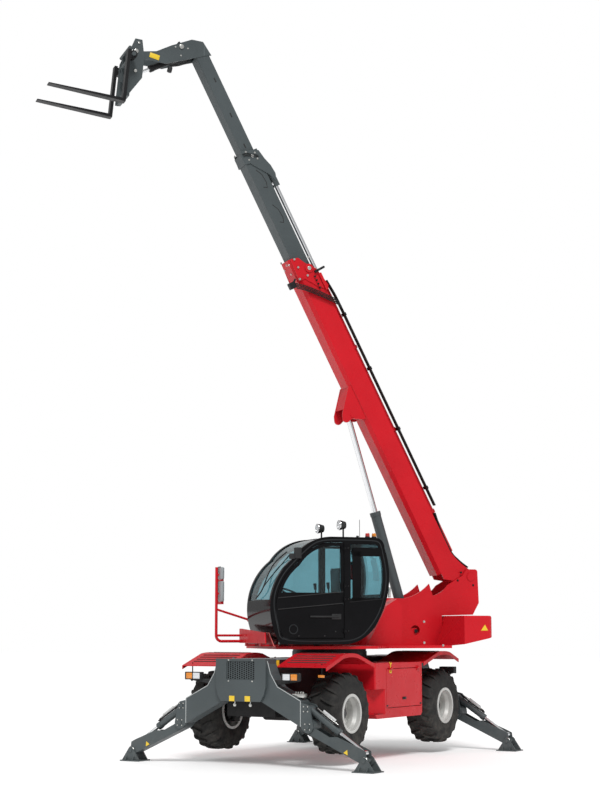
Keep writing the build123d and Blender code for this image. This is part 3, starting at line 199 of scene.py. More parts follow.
def hoses(name, routes, radius, place, body, material, closed=False, sides=2, steps=6):
    """Fixed hoses, pipes, bent rods or closed rings of tube that follow smooth routes."""
    curve = bpy.data.curves.new(name, "CURVE")
    curve.dimensions = "3D"
    curve.bevel_depth = radius
    curve.bevel_resolution = sides
    curve.resolution_u = steps
    curve.use_fill_caps = True
    for route in routes:
        spline = curve.splines.new("NURBS")
        spline.points.add(len(route) - 1)
        for point, at in zip(spline.points, route):
            point.co = (*(place @ Vector(at)), 1)
        spline.order_u = min(3, len(route))
        spline.use_cyclic_u = closed
        spline.use_endpoint_u = not closed
    curve.materials.append(material)
    obj = bpy.data.objects.new(name, curve)
    bpy.context.scene.collection.objects.link(obj)
    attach(obj, body)
    return obj


def frame_tube(name, points, radius, material, closed=True):
    """One rounder tube of the cab or its seat, on the turret."""
    return hoses(name, [points], radius, TURRET, "turret", MATERIALS[material], closed, 4, 4)


def keeper(place, body, slot):
    """Shortcut that turns meshes into pieces with this placement and body; the slot is not used."""
    def keep(name, bm, material, slot=slot, body=body):
        return piece(name, bm, place, body, MATERIALS[material])

    return keep


# ------------------------------------------------------------------ shared material effects
def new_group(name, inputs, outputs):
    """Empty shader node group with named inputs and outputs."""
    group = bpy.data.node_groups.new(name, "ShaderNodeTree")
    for label, kind, value in inputs:
        socket = group.interface.new_socket(label, in_out="INPUT", socket_type=kind)
        if value is not None:
            socket.default_value = value
    for label, kind in outputs:
        group.interface.new_socket(label, in_out="OUTPUT", socket_type=kind)
    return group, group.nodes.new("NodeGroupInput"), group.nodes.new("NodeGroupOutput")


def noise(tree, vector, scale, detail=3.0, roughness=0.55):
    """Noise texture node; scale is a number or an output socket."""
    node = tree.nodes.new("ShaderNodeTexNoise")
    tree.links.new(vector, node.inputs["Vector"])
    if isinstance(scale, (int, float)):
        node.inputs["Scale"].default_value = scale
    else:
        tree.links.new(scale, node.inputs["Scale"])
    node.inputs["Detail"].default_value = detail
    node.inputs["Roughness"].default_value = roughness
    return node.outputs["Fac"]


def sums(tree, operation, first, second=None, clamp=False):
    """Math node on sockets or numbers."""
    node = tree.nodes.new("ShaderNodeMath")
    node.operation = operation
    node.use_clamp = clamp
    for socket, value in zip(node.inputs, (first, second)):
        if value is None:
            continue
        if isinstance(value, (int, float)):
            socket.default_value = value
        else:
            tree.links.new(value, socket)
    return node.outputs[0]


def ramped(tree, value, low, high, to_low=0.0, to_high=1.0):
    """Map a value between two ends, without going past them."""
    node = tree.nodes.new("ShaderNodeMapRange")
    tree.links.new(value, node.inputs["Value"])
    for label, number in (("From Min", low), ("From Max", high), ("To Min", to_low), ("To Max", to_high)):
        if isinstance(number, (int, float)):
            node.inputs[label].default_value = number
        else:
            tree.links.new(number, node.inputs[label])
    return node.outputs["Result"]


def uneven_coat_group():
    """Slow tone drift, finer gloss drift and a fine grain, as sprayed and moulded skins have."""
    group, enter, leave = new_group(
        "Uneven Coat",
        (("Vector", "NodeSocketVector", None), ("Drift Scale", "NodeSocketFloat", 2.0),
            ("Grain Scale", "NodeSocketFloat", 400.0)),
        (("Tone", "NodeSocketFloat"), ("Gloss", "NodeSocketFloat"), ("Grain", "NodeSocketFloat")),
    )
    vector = enter.outputs["Vector"]
    tone = noise(group, vector, enter.outputs["Drift Scale"], 4.0)
    gloss = noise(group, vector, sums(group, "MULTIPLY", enter.outputs["Drift Scale"], 7.0), 3.0)
    grain = noise(group, vector, enter.outputs["Grain Scale"], 2.0)
    group.links.new(ramped(group, tone, 0.32, 0.68), leave.inputs["Tone"])
    group.links.new(ramped(group, gloss, 0.3, 0.7), leave.inputs["Gloss"])
    group.links.new(grain, leave.inputs["Grain"])
    return group


def road_dust_group():
    """Dust that thins out with height above the ground."""
    group, enter, leave = new_group(
        "Road Dust",
        (("Vector", "NodeSocketVector", None), ("Reach", "NodeSocketFloat", 1.0),
            ("Strength", "NodeSocketFloat", 0.3)),
        (("Mask", "NodeSocketFloat"),),
    )
    split = group.nodes.new("ShaderNodeSeparateXYZ")
    group.links.new(enter.outputs["Vector"], split.inputs[0])
    low = ramped(group, split.outputs["Z"], 0.0, enter.outputs["Reach"], 1.0, 0.0)
    patch = ramped(group, noise(group, enter.outputs["Vector"], 9.0, 5.0, 0.65), 0.38, 0.72)
    mask = sums(group, "MULTIPLY", sums(group, "MULTIPLY", low, patch), enter.outputs["Strength"], True)
    group.links.new(mask, leave.inputs["Mask"])
    return group


def rub_marks_group():
    """Thin bright streaks where something slides along a surface."""
    group, enter, leave = new_group(
        "Rub Marks",
        (("Vector", "NodeSocketVector", None), ("Stretch", "NodeSocketVector", (40.0, 2.0, 40.0)),
            ("Cover", "NodeSocketFloat", 0.62)),
        (("Mask", "NodeSocketFloat"),),
    )
    scale = group.nodes.new("ShaderNodeVectorMath")
    scale.operation = "MULTIPLY"
    group.links.new(enter.outputs["Vector"], scale.inputs[0])
    group.links.new(enter.outputs["Stretch"], scale.inputs[1])
    streak = noise(group, scale.outputs[0], 1.0, 4.0, 0.6)
    over = sums(group, "SUBTRACT", streak, enter.outputs["Cover"])
    group.links.new(sums(group, "MULTIPLY", over, 9.0, True), leave.inputs["Mask"])
    return group


GROUPS = {}


def effect(tree, name, vector, **values):
    """Place one of the shared effects in a material with its own values."""
    if name not in GROUPS:
        GROUPS[name] = {"Uneven Coat": uneven_coat_group, "Road Dust": road_dust_group,
            "Rub Marks": rub_marks_group}[name]()
    node = tree.nodes.new("ShaderNodeGroup")
    node.node_tree = GROUPS[name]
    tree.links.new(vector, node.inputs["Vector"])
    for label, value in values.items():
        node.inputs[label.replace("_", " ").title()].default_value = value
    return node.outputs


def tint(tree, mask, under, over):
    """Mix two colours, or sockets, by a mask."""
    node = tree.nodes.new("ShaderNodeMix")
    node.data_type = "RGBA"
    tree.links.new(mask, node.inputs["Factor"])
    for label, value in (("A", under), ("B", over)):
        socket = [s for s in node.inputs if s.name == label and s.type == "RGBA"][0]
        if isinstance(value, (tuple, list)):
            socket.default_value = (*value, 1.0)
        else:
            tree.links.new(value, socket)
    return [s for s in node.outputs if s.type == "RGBA"][0]


DUST = (0.33, 0.30, 0.26)


def skin(name, colour, shade, rough, metallic=0.0, coat=0.0, drift=2.0, grain=500.0, depth=0.0003,
         dust=0.0, reach=1.1, spread=0.08, rub=None, shine=0.5):
    """Painted, moulded or bare metal skin with drifting tone, uneven gloss, fine grain and dust."""
    material = bpy.data.materials.new(name)
    material.use_nodes = True
    tree = material.node_tree
    shader = tree.nodes["Principled BSDF"]
    vector = tree.nodes.new("ShaderNodeTexCoord").outputs["Object"]
    coat_out = effect(tree, "Uneven Coat", vector, drift_scale=drift, grain_scale=grain)
    base = tint(tree, coat_out["Tone"], colour, shade)
    gloss = ramped(tree, coat_out["Gloss"], 0.0, 1.0, max(rough - spread, 0.03), rough + spread)
    if rub:
        marks = effect(tree, "Rub Marks", vector, stretch=rub[0], cover=rub[1])["Mask"]
        base = tint(tree, marks, base, rub[2])
    if dust:
        mask = effect(tree, "Road Dust", vector, reach=reach, strength=dust)["Mask"]
        base = tint(tree, mask, base, DUST)
        gloss = sums(tree, "ADD", gloss, sums(tree, "MULTIPLY", mask, 0.5), True)
    tree.links.new(base, shader.inputs["Base Color"])
    tree.links.new(gloss, shader.inputs["Roughness"])
    shader.inputs["Metallic"].default_value = metallic
    shader.inputs["Specular IOR Level"].default_value = shine
    shader.inputs["Coat Weight"].default_value = coat
    shader.inputs["Coat Roughness"].default_value = 0.06
    bump = tree.nodes.new("ShaderNodeBump")
    bump.inputs["Strength"].default_value = 0.5
    bump.inputs["Distance"].default_value = depth
    tree.links.new(coat_out["Grain"], bump.inputs["Height"])
    tree.links.new(bump.outputs[0], shader.inputs["Normal"])
    return material


def tinted_glass(name, colour, rough=0.01):
    """Tinted pane with faint wiping haze in its gloss."""
    material = bpy.data.materials.new(name)
    material.use_nodes = True
    tree = material.node_tree
    shader = tree.nodes["Principled BSDF"]
    vector = tree.nodes.new("ShaderNodeTexCoord").outputs["Object"]
    drift = effect(tree, "Uneven Coat", vector, drift_scale=1.2, grain_scale=60.0)
    deeper = tuple(c * 0.9 for c in colour)
    tree.links.new(tint(tree, drift["Tone"], colour, deeper), shader.inputs["Base Color"])
    tree.links.new(ramped(tree, drift["Gloss"], 0.0, 1.0, rough, rough + 0.02), shader.inputs["Roughness"])
    shader.inputs["Transmission Weight"].default_value = 1.0
    shader.inputs["IOR"].default_value = 1.45
    return material


def fabric(name, warp, weft):
    """Woven upholstery with a fine two-way weave and soft sheen."""
    material = bpy.data.materials.new(name)
    material.use_nodes = True
    tree = material.node_tree
    shader = tree.nodes["Principled BSDF"]
    vector = tree.nodes.new("ShaderNodeTexCoord").outputs["Object"]
    threads = []
    for direction in ("X", "Z"):
        wave = tree.nodes.new("ShaderNodeTexWave")
        wave.bands_direction = direction
        wave.inputs["Scale"].default_value = 160.0
        wave.inputs["Distortion"].default_value = 0.6
        tree.links.new(vector, wave.inputs["Vector"])
        threads.append(wave.outputs["Fac"])
    weave = sums(tree, "MULTIPLY", threads[0], threads[1])
    drift = effect(tree, "Uneven Coat", vector, drift_scale=6.0, grain_scale=900.0)
    shade = tint(tree, weave, warp, weft)
    worn = tuple(min(1.0, c * 1.3) for c in weft)
    tree.links.new(tint(tree, sums(tree, "MULTIPLY", drift["Tone"], 0.4), shade, worn),
        shader.inputs["Base Color"])
    tree.links.new(ramped(tree, weave, 0.0, 1.0, 0.75, 0.95), shader.inputs["Roughness"])
    shader.inputs["Sheen Weight"].default_value = 0.3
    bump = tree.nodes.new("ShaderNodeBump")
    bump.inputs["Strength"].default_value = 0.6
    bump.inputs["Distance"].default_value = 0.0008
    tree.links.new(weave, bump.inputs["Height"])
    tree.links.new(bump.outputs[0], shader.inputs["Normal"])
    return material


def lit_lens(name, colour, ribs):
    """Moulded lamp lens with upright optic ribs."""
    material = bpy.data.materials.new(name)
    material.use_nodes = True
    tree = material.node_tree
    shader = tree.nodes["Principled BSDF"]
    vector = tree.nodes.new("ShaderNodeTexCoord").outputs["Object"]
    wave = tree.nodes.new("ShaderNodeTexWave")
    wave.bands_direction = "X"
    wave.inputs["Scale"].default_value = ribs
    tree.links.new(vector, wave.inputs["Vector"])
    darker = tuple(c * 0.7 for c in colour)
    tree.links.new(tint(tree, wave.outputs["Fac"], colour, darker), shader.inputs["Base Color"])
    tree.links.new(ramped(tree, wave.outputs["Fac"], 0.0, 1.0, 0.05, 0.16), shader.inputs["Roughness"])
    shader.inputs["Coat Weight"].default_value = 0.6
    bump = tree.nodes.new("ShaderNodeBump")
    bump.inputs["Strength"].default_value = 0.6
    bump.inputs["Distance"].default_value = 0.002
    tree.links.new(wave.outputs["Fac"], bump.inputs["Height"])
    tree.links.new(bump.outputs[0], shader.inputs["Normal"])
    return material


MATERIALS = {}


def make_materials(finish):
    """Build every material from the colours in the finish settings."""
    red = tuple(finish.red)
    grey = tuple(finish.grey)
    teal = tuple(finish.glass)
    deeper_red = tuple(c * 0.86 for c in red)
    deeper_grey = tuple(c * 0.82 for c in grey)
    MATERIALS.update({
        "red_enamel": skin("Red Enamel", red, deeper_red, 0.32, coat=0.06, drift=1.1, dust=0.06, reach=0.9,
            shine=0.16),
        "grey_enamel": skin("Boom Grey Enamel", grey, deeper_grey, 0.42, coat=0.05, drift=1.3, dust=0.10,
            reach=0.9, shine=0.25),
        "stage_enamel": skin(
            "Sliding Stage Enamel", grey, deeper_grey, 0.4, coat=0.05, drift=1.3, shine=0.25,
            rub=((9.0, 9.0, 1.2), 0.66, tuple(c * 1.5 for c in grey)),
        ),
        "cab_gloss": skin("Cab Black Gloss", (0.004, 0.004, 0.0045), (0.006, 0.006, 0.007), 0.10, coat=0.04,
            spread=0.03, shine=0.10),
        "cab_nose": skin("Cab Nose Black", (0.003, 0.003, 0.0035), (0.005, 0.005, 0.006), 0.22, spread=0.03,
            shine=0.05),
        "cab_grey": skin("Cab Frame Grey", (0.020, 0.023, 0.025), (0.015, 0.017, 0.019), 0.34, coat=0.05,
            shine=0.2),
        "black_steel": skin("Black Steel", (0.008, 0.008, 0.009), (0.014, 0.014, 0.015), 0.40, dust=0.08,
            shine=0.2),
        "zinc": skin("Zinc Plate", (0.66, 0.66, 0.63), (0.5, 0.5, 0.48), 0.3, metallic=0.9, drift=12.0),
        "chrome": skin("Hard Chrome", (0.82, 0.83, 0.84), (0.74, 0.75, 0.77), 0.12, metallic=1.0,
            spread=0.04, depth=0.00005),
        "rubber": skin(
            "Tyre Rubber", (0.012, 0.012, 0.013), (0.020, 0.020, 0.019), 0.78, drift=5.0, grain=260.0,
            depth=0.0012, dust=0.22, reach=1.3, shine=0.25,
        ),
        "hose": skin("Hose Rubber", (0.008, 0.008, 0.008), (0.014, 0.014, 0.014), 0.5, shine=0.25,
            drift=8.0, grain=600.0),
        "rim": skin("Rim Silver", (0.60, 0.60, 0.58), (0.52, 0.52, 0.50), 0.38, metallic=0.25, coat=0.2,
            dust=0.3, reach=1.3),
        "hub": skin("Hub Grey", (0.05, 0.052, 0.055), (0.035, 0.036, 0.038), 0.5, dust=0.35, reach=1.3),
        "plastic": skin("Moulded Plastic", (0.016, 0.017, 0.018), (0.022, 0.023, 0.024), 0.6, shine=0.3,
            grain=900.0, depth=0.0006),
        "yellow": skin("Yellow Tag", (0.80, 0.55, 0.02), (0.72, 0.48, 0.02), 0.35, coat=0.3, drift=8.0),
        "white": skin("White Line", (0.72, 0.73, 0.73), (0.60, 0.61, 0.61), 0.4, coat=0.2, drift=8.0),
        # painted highlight: light grey that stands in for light caught on plate edges
        "edge_highlight_grey": skin("Painted Edge Highlight Grey", (0.42, 0.44, 0.44), (0.34, 0.36, 0.36), 0.35, drift=6.0),
        "deck": skin("Deck Grey", (0.30, 0.32, 0.33), (0.24, 0.26, 0.27), 0.45, drift=3.0, dust=0.3,
            reach=2.0),
        "bumper_red": skin("Deep Red Plate", (0.26, 0.006, 0.010), (0.21, 0.005, 0.008), 0.32, coat=0.04,
            shine=0.16),
        # painted highlight: light red that stands in for light caught on the bumper plate's edges
        "red_edge_highlight": skin("Painted Red Edge Highlight", (0.72, 0.16, 0.15), (0.62, 0.12, 0.12), 0.3, coat=0.2),
        "strip": skin("Anti Slip Strip", (0.012, 0.012, 0.012), (0.03, 0.03, 0.03), 0.85, grain=420.0,
            depth=0.002),
        "glass": tinted_glass("Teal Glass", teal),
        "mirror": skin("Mirror Glass", (0.75, 0.77, 0.8), (0.68, 0.7, 0.73), 0.05, metallic=1.0,
            spread=0.02, depth=0.00002),
        "seat": fabric("Cushion Cloth", (0.02, 0.021, 0.023), (0.05, 0.052, 0.056)),
        "clear_lens": lit_lens("Clear Lens", (0.78, 0.80, 0.82), 38.0),
        "amber_lens": lit_lens("Amber Lens", (0.85, 0.28, 0.02), 46.0),
        "red_lens": lit_lens("Red Lens", (0.62, 0.02, 0.015), 46.0),
    })


NODE_FINISH = {
    # CAD node: its finish
    "boom_outer": "red_enamel",
    "boom_middle": "stage_enamel",
    "boom_inner": "stage_enamel",
    "extension_barrel": "red_enamel",
    "extension_rod": "chrome",
    "cab_door": "cab_gloss",
    "door_window": "glass",
    "cab_frame": "cab_gloss",
    "cab_glass": "glass",
    "cab_controls": "plastic",
    "operator_seat": "seat",
    "front_guard": "red_enamel",
    "turret_frame": "red_enamel",
    "counterweight": "red_enamel",
    "chassis_frame": "black_steel",
    "engine_block": "black_steel",
    "engine_housing": "red_enamel",
    "engine_door": "red_enamel",
    "left_side_box": "red_enamel",
    "side_hatch": "red_enamel",
    "mudguards": "red_enamel",
    "front_axle": "black_steel",
    "rear_axle": "black_steel",
    "front_stabiliser_beam": "grey_enamel",
    "rear_stabiliser_beam": "grey_enamel",
    "lamps": "plastic",
    "fork_carriage": "grey_enamel",
    "forks": "black_steel",
    "lift_cylinder": "grey_enamel",
    "lift_rod": "chrome",
    "tilt_cylinder": "black_steel",
    "tilt_rod": "chrome",
}
CORNER_FINISH = {
    "foot": "grey_enamel",
    "knuckle": "black_steel",
    "leg": "grey_enamel",
    "leg_cylinder": "grey_enamel",
    "leg_rod": "chrome",
    "rim": "rim",
    "tyre": "rubber",
}


def finish_node(node, material):
    """Give a CAD node one material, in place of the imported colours."""
    mesh = frame["nodes"][node].data
    mesh.materials.clear()
    mesh.materials.append(material)


# ------------------------------------------------------------------ settings
class TelehandlerFinish(PropertyGroup):
    red: FloatVectorProperty(
        name="Red", description="Paint of the turret, first boom stage and bodywork",
        subtype="COLOR", size=3, min=0.0, max=1.0, default=(0.56, 0.010, 0.018),
    )
    grey: FloatVectorProperty(
        name="Grey", description="Paint of the sliding boom stages, legs and beams",
        subtype="COLOR", size=3, min=0.0, max=1.0, default=(0.070, 0.084, 0.088),
    )
    glass: FloatVectorProperty(
        name="Glass", description="Tint of the cab's panes",
        subtype="COLOR", size=3, min=0.0, max=1.0, default=(0.50, 0.80, 0.87),
    )


class TelehandlerTyre(PropertyGroup):
    lugs: IntProperty(name="Lugs", description="Tread lugs on each side of a tyre", default=19, min=8,
        max=32)
    lug_height: FloatProperty(
        name="Lug Height", description="How far a lug stands above the carcass",
        default=0.032, min=0.01, max=0.05, unit="LENGTH",
    )


class TelehandlerStage(PropertyGroup):
    floor_size: FloatProperty(name="Floor", description="Side of the square floor", default=160.0, min=20.0,
        unit="LENGTH")
    key: FloatProperty(name="Key Light", description="Strength of the soft sun", default=2.2, min=0.0)
    sky: FloatProperty(name="Sky Light", description="Strength of the even light from all round",
        default=0.5, min=0.0)
    fill: FloatProperty(name="Fill Light", description="Power of each area light in watts", default=250.0,
        min=0.0)


# ------------------------------------------------------------------ studio
SUN_SPREAD = radians(18)
SUN_FROM = Vector((0.50, -0.62, 0.92))
FLOOR_GLOW = 0.15
CAMERA_EYE = Vector((11.952, -20.547, 1.783))
CAMERA_YAW = 31.213
CAMERA_PITCH = 8.059
FOCAL_LENGTH = 73.05


class TELEHANDLER_OT_studio(Operator):
    """Camera, pale floor and soft lights"""

    bl_idname = "telehandler.studio"
    bl_label = "Studio"

    def execute(self, context):
        stage = context.scene.telehandler_stage
        camera = bpy.data.cameras.new("Camera")
        camera.sensor_fit = "AUTO"
        camera.sensor_width = 36.0
        camera.lens = FOCAL_LENGTH
        camera.clip_end = 400.0
        view = bpy.data.objects.new("Camera", camera)
        view.location = MACHINE @ CAMERA_EYE
        view.rotation_euler = (radians(90 + CAMERA_PITCH), 0, radians(CAMERA_YAW))
        context.scene.collection.objects.link(view)
        context.scene.camera = view

        floor_material = skin("Studio Floor", (0.90, 0.90, 0.90), (0.88, 0.88, 0.88), 0.8, drift=0.3)
        shader = floor_material.node_tree.nodes["Principled BSDF"]
        shader.inputs["Emission Color"].default_value = (1.0, 1.0, 1.0, 1.0)
        shader.inputs["Emission Strength"].default_value = FLOOR_GLOW
        bm = bmesh.new()
        bmesh.ops.create_grid(bm, x_segments=1, y_segments=1, size=stage.floor_size / 2)
        mesh = bpy.data.meshes.new("floor")
        bm.to_mesh(mesh)
        bm.free()
        mesh.materials.append(floor_material)
        floor = bpy.data.objects.new("floor", mesh)
        context.scene.collection.objects.link(floor)

        world = bpy.data.worlds.new("Studio World")
        world.use_nodes = True
        tree = world.node_tree
        backdrop = tree.nodes["Background"]
        backdrop.inputs["Color"].default_value = (1.0, 1.0, 1.0, 1.0)
        seen = tree.nodes.new("ShaderNodeLightPath").outputs["Is Camera Ray"]
        tree.links.new(ramped(tree, seen, 0.0, 1.0, stage.sky, 1.0), backdrop.inputs["Strength"])
        context.scene.world = world
        context.scene.view_settings.view_transform = "Standard"
        context.scene.view_settings.look = "None"

        light = bpy.data.lights.new("key", "SUN")
        light.energy = stage.key
        light.angle = SUN_SPREAD
        lamp = bpy.data.objects.new("key", light)
        lamp.matrix_world = (-SUN_FROM).to_track_quat("-Z", "Y").to_matrix().to_4x4()
        context.scene.collection.objects.link(lamp)
        for name, place, target, size, power in (
            ("fill", (-12.0, -10.0, 8.0), (0.0, 0.0, 3.0), 10.0, stage.fill),
            ("rear", (-4.0, 12.0, 12.0), (0.0, 0.0, 3.0), 9.0, stage.fill),
        ):
            light = bpy.data.lights.new(name, "AREA")
            light.shape = "SQUARE"
            light.size = size
            light.energy = power
            lamp = bpy.data.objects.new(name, light)
            aim = Vector(target) - Vector(place)
            lamp.matrix_world = Matrix.Translation(place) @ aim.to_track_quat("-Z",
                "Y").to_matrix().to_4x4()
            context.scene.collection.objects.link(lamp)
        return {"FINISHED"}


class TELEHANDLER_OT_finishes(Operator):
    """Materials, and the finish of every CAD node"""

    bl_idname = "telehandler.finishes"
    bl_label = "Finishes"

    def execute(self, context):
        make_materials(context.scene.telehandler_finish)
        wanted = dict(NODE_FINISH)
        for corner in CORNERS:
            wanted.update({f"{corner}_{part}": finish for part, finish in CORNER_FINISH.items()})
        if set(wanted) != set(frame["nodes"]):
            raise RuntimeError(f"finishes and nodes differ: {sorted(set(wanted) ^ set(frame['nodes']))}")
        for node, finish in wanted.items():
            finish_node(node, MATERIALS[finish])
        return {"FINISHED"}


# ------------------------------------------------------------------ wheels
TYRE_HALF_WIDTH = 0.225
BEAD_RADIUS = 0.248
# carcass section from the bead over the crown: (distance from the middle plane, radius)
CARCASS = (
    (0.196, 0.249), (0.206, 0.262), (0.216, 0.285), (0.2235, 0.33), (0.2245, 0.375),
    (0.220, 0.42), (0.209, 0.458), (0.192, 0.484), (0.168, 0.499), (0.12, 0.505), (0.06, 0.5075),
)


def carcass_radius(along):
    """Radius of the carcass at a distance from the wheel's middle plane, on its tread side."""
    across = abs(along)
    tread = [(x, r) for x, r in CARCASS if r > 0.40]
    if across >= tread[0][0]:
        return tread[0][1]
    for (x0, r0), (x1, r1) in zip(tread, tread[1:]):
        if x1 <= across <= x0:
            return r0 + (r1 - r0) * (x0 - across) / (x0 - x1)
    return tread[-1][1]


LUG_START, LUG_RUN, LUG_SINK, LUG_TOP = 0.012, 0.203, 0.012, 0.5395


def tread_lug(bm, side, angle, height):
    """One tread bar, curved from the crown out over the shoulder."""
    verts = bmesh.ops.create_cube(bm, size=1)["verts"]
    bmesh.ops.subdivide_edges(
        bm, edges=[e for e in edges_of(verts) if abs((e.verts[0].co - e.verts[1].co).x) > 0.5],
        cuts=5, use_grid_fill=True,
    )
    lug = [v for v in bm.verts if v.tag is False]
    for vert in lug:
        run, across, rise = vert.co.x + 0.5, vert.co.y, vert.co.z + 0.5
        along = LUG_START + run * LUG_RUN
        bend = 0.17 * (1 - run) ** 1.4 + 0.03 * run
        half = 0.062 + 0.026 * run - 0.012 * rise
        base = carcass_radius(along) - LUG_SINK
        top = min(carcass_radius(along) + height, LUG_TOP - 0.02 * max(0.0, run - 0.72) / 0.28)
        radius = base + (top - base) * rise
        if run > 0.95:
            radius -= 0.018 * rise
        turn = angle + bend + across * half
        vert.co = (side * along, radius * sin(turn), radius * cos(turn))
        vert.tag = True


class TELEHANDLER_OT_tyres(Operator):
    """Chevron-lug tyres in place of the plain CAD tyres"""

    bl_idname = "telehandler.tyres"
    bl_label = "Tyres"

    def execute(self, context):
        settings = context.scene.telehandler_tyre
        profile = [(-x, r) for x, r in CARCASS] + [(0.0, 0.508), *reversed(CARCASS)]
        for corner in CORNERS:
            bm = bmesh.new()
            spun(bm, profile + [(0.19, 0.246), (-0.19, 0.246), profile[0]], 72)
            for vert in bm.verts:
                vert.tag = True
            for number in range(settings.lugs):
                for side in (-1, 1):
                    offset = 0.5 if side < 0 else 0.0
                    tread_lug(bm, side, 2 * pi * (number + offset) / settings.lugs, settings.lug_height)
            tyre = piece(
                f"{corner}_tread_tyre", bm, wheel_frame(corner), f"{corner}_wheel",
                MATERIALS["rubber"], crease=radians(40),
            )
            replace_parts(tyre, f"{corner}_tyre")
        return {"FINISHED"}


# ------------------------------------------------------------------ wheels: rims
class TELEHANDLER_OT_rim_fittings(Operator):
    """Wheel nuts, hub cap and valve of each rim"""

    bl_idname = "telehandler.rim_fittings"
    bl_label = "Rim Fittings"

    def execute(self, context):
        for corner in CORNERS:
            place, body = wheel_frame(corner), f"{corner}_wheel"
            bm = bmesh.new()
            for number in range(10):
                angle = 2 * pi * number / 10
                bolt(bm, (0.021, 0.160 * sin(angle), 0.160 * cos(angle)), (1, 0, 0), 0.015)
            for number in range(6):
                angle = 2 * pi * (number + 0.5) / 6
                bolt(bm, (0.066, 0.078 * sin(angle), 0.078 * cos(angle)), (1, 0, 0), 0.007)
            rod(bm, (0.02, 0, 0.2), (0.062, 0, 0.19), 0.005, 8)
            piece(f"{corner}_wheel_nuts", bm, place, body, MATERIALS["zinc"])
            bm = bmesh.new()
            spun(bm, [
                (0.046, 0.088), (0.046, 0.099), (0.060, 0.100), (0.068, 0.092), (0.070, 0.066),
                (0.094, 0.058),
                (0.104, 0.046), (0.106, 0.0), (0.098, 0.0), (0.086, 0.052), (0.060, 0.060), (0.046, 0.088),
            ], 40)
            piece(f"{corner}_hub_cap", bm, place, body, MATERIALS["hub"])
        return {"FINISHED"}


# ------------------------------------------------------------------ chassis
QUARTERS = ((-1, -1), (-1, 1), (1, -1), (1, 1))
AXLE_Y = 1.4
BEAM_Y = 2.19
LAMP_Z = 1.173
GRILLE_PITCH = 0.036
STRIP_SIZE = (0.60, 0.026, 0.005)
FENDER_SLOPE = Matrix.Rotation(radians(19), 4, "X")


def fender_height(reach):
    """Height of a fender's skin at a distance ahead of its axle."""
    return 1.472 - 0.016 * min(1.0, (reach / 0.2) ** 2) - 0.345 * max(0.0, reach - 0.2)


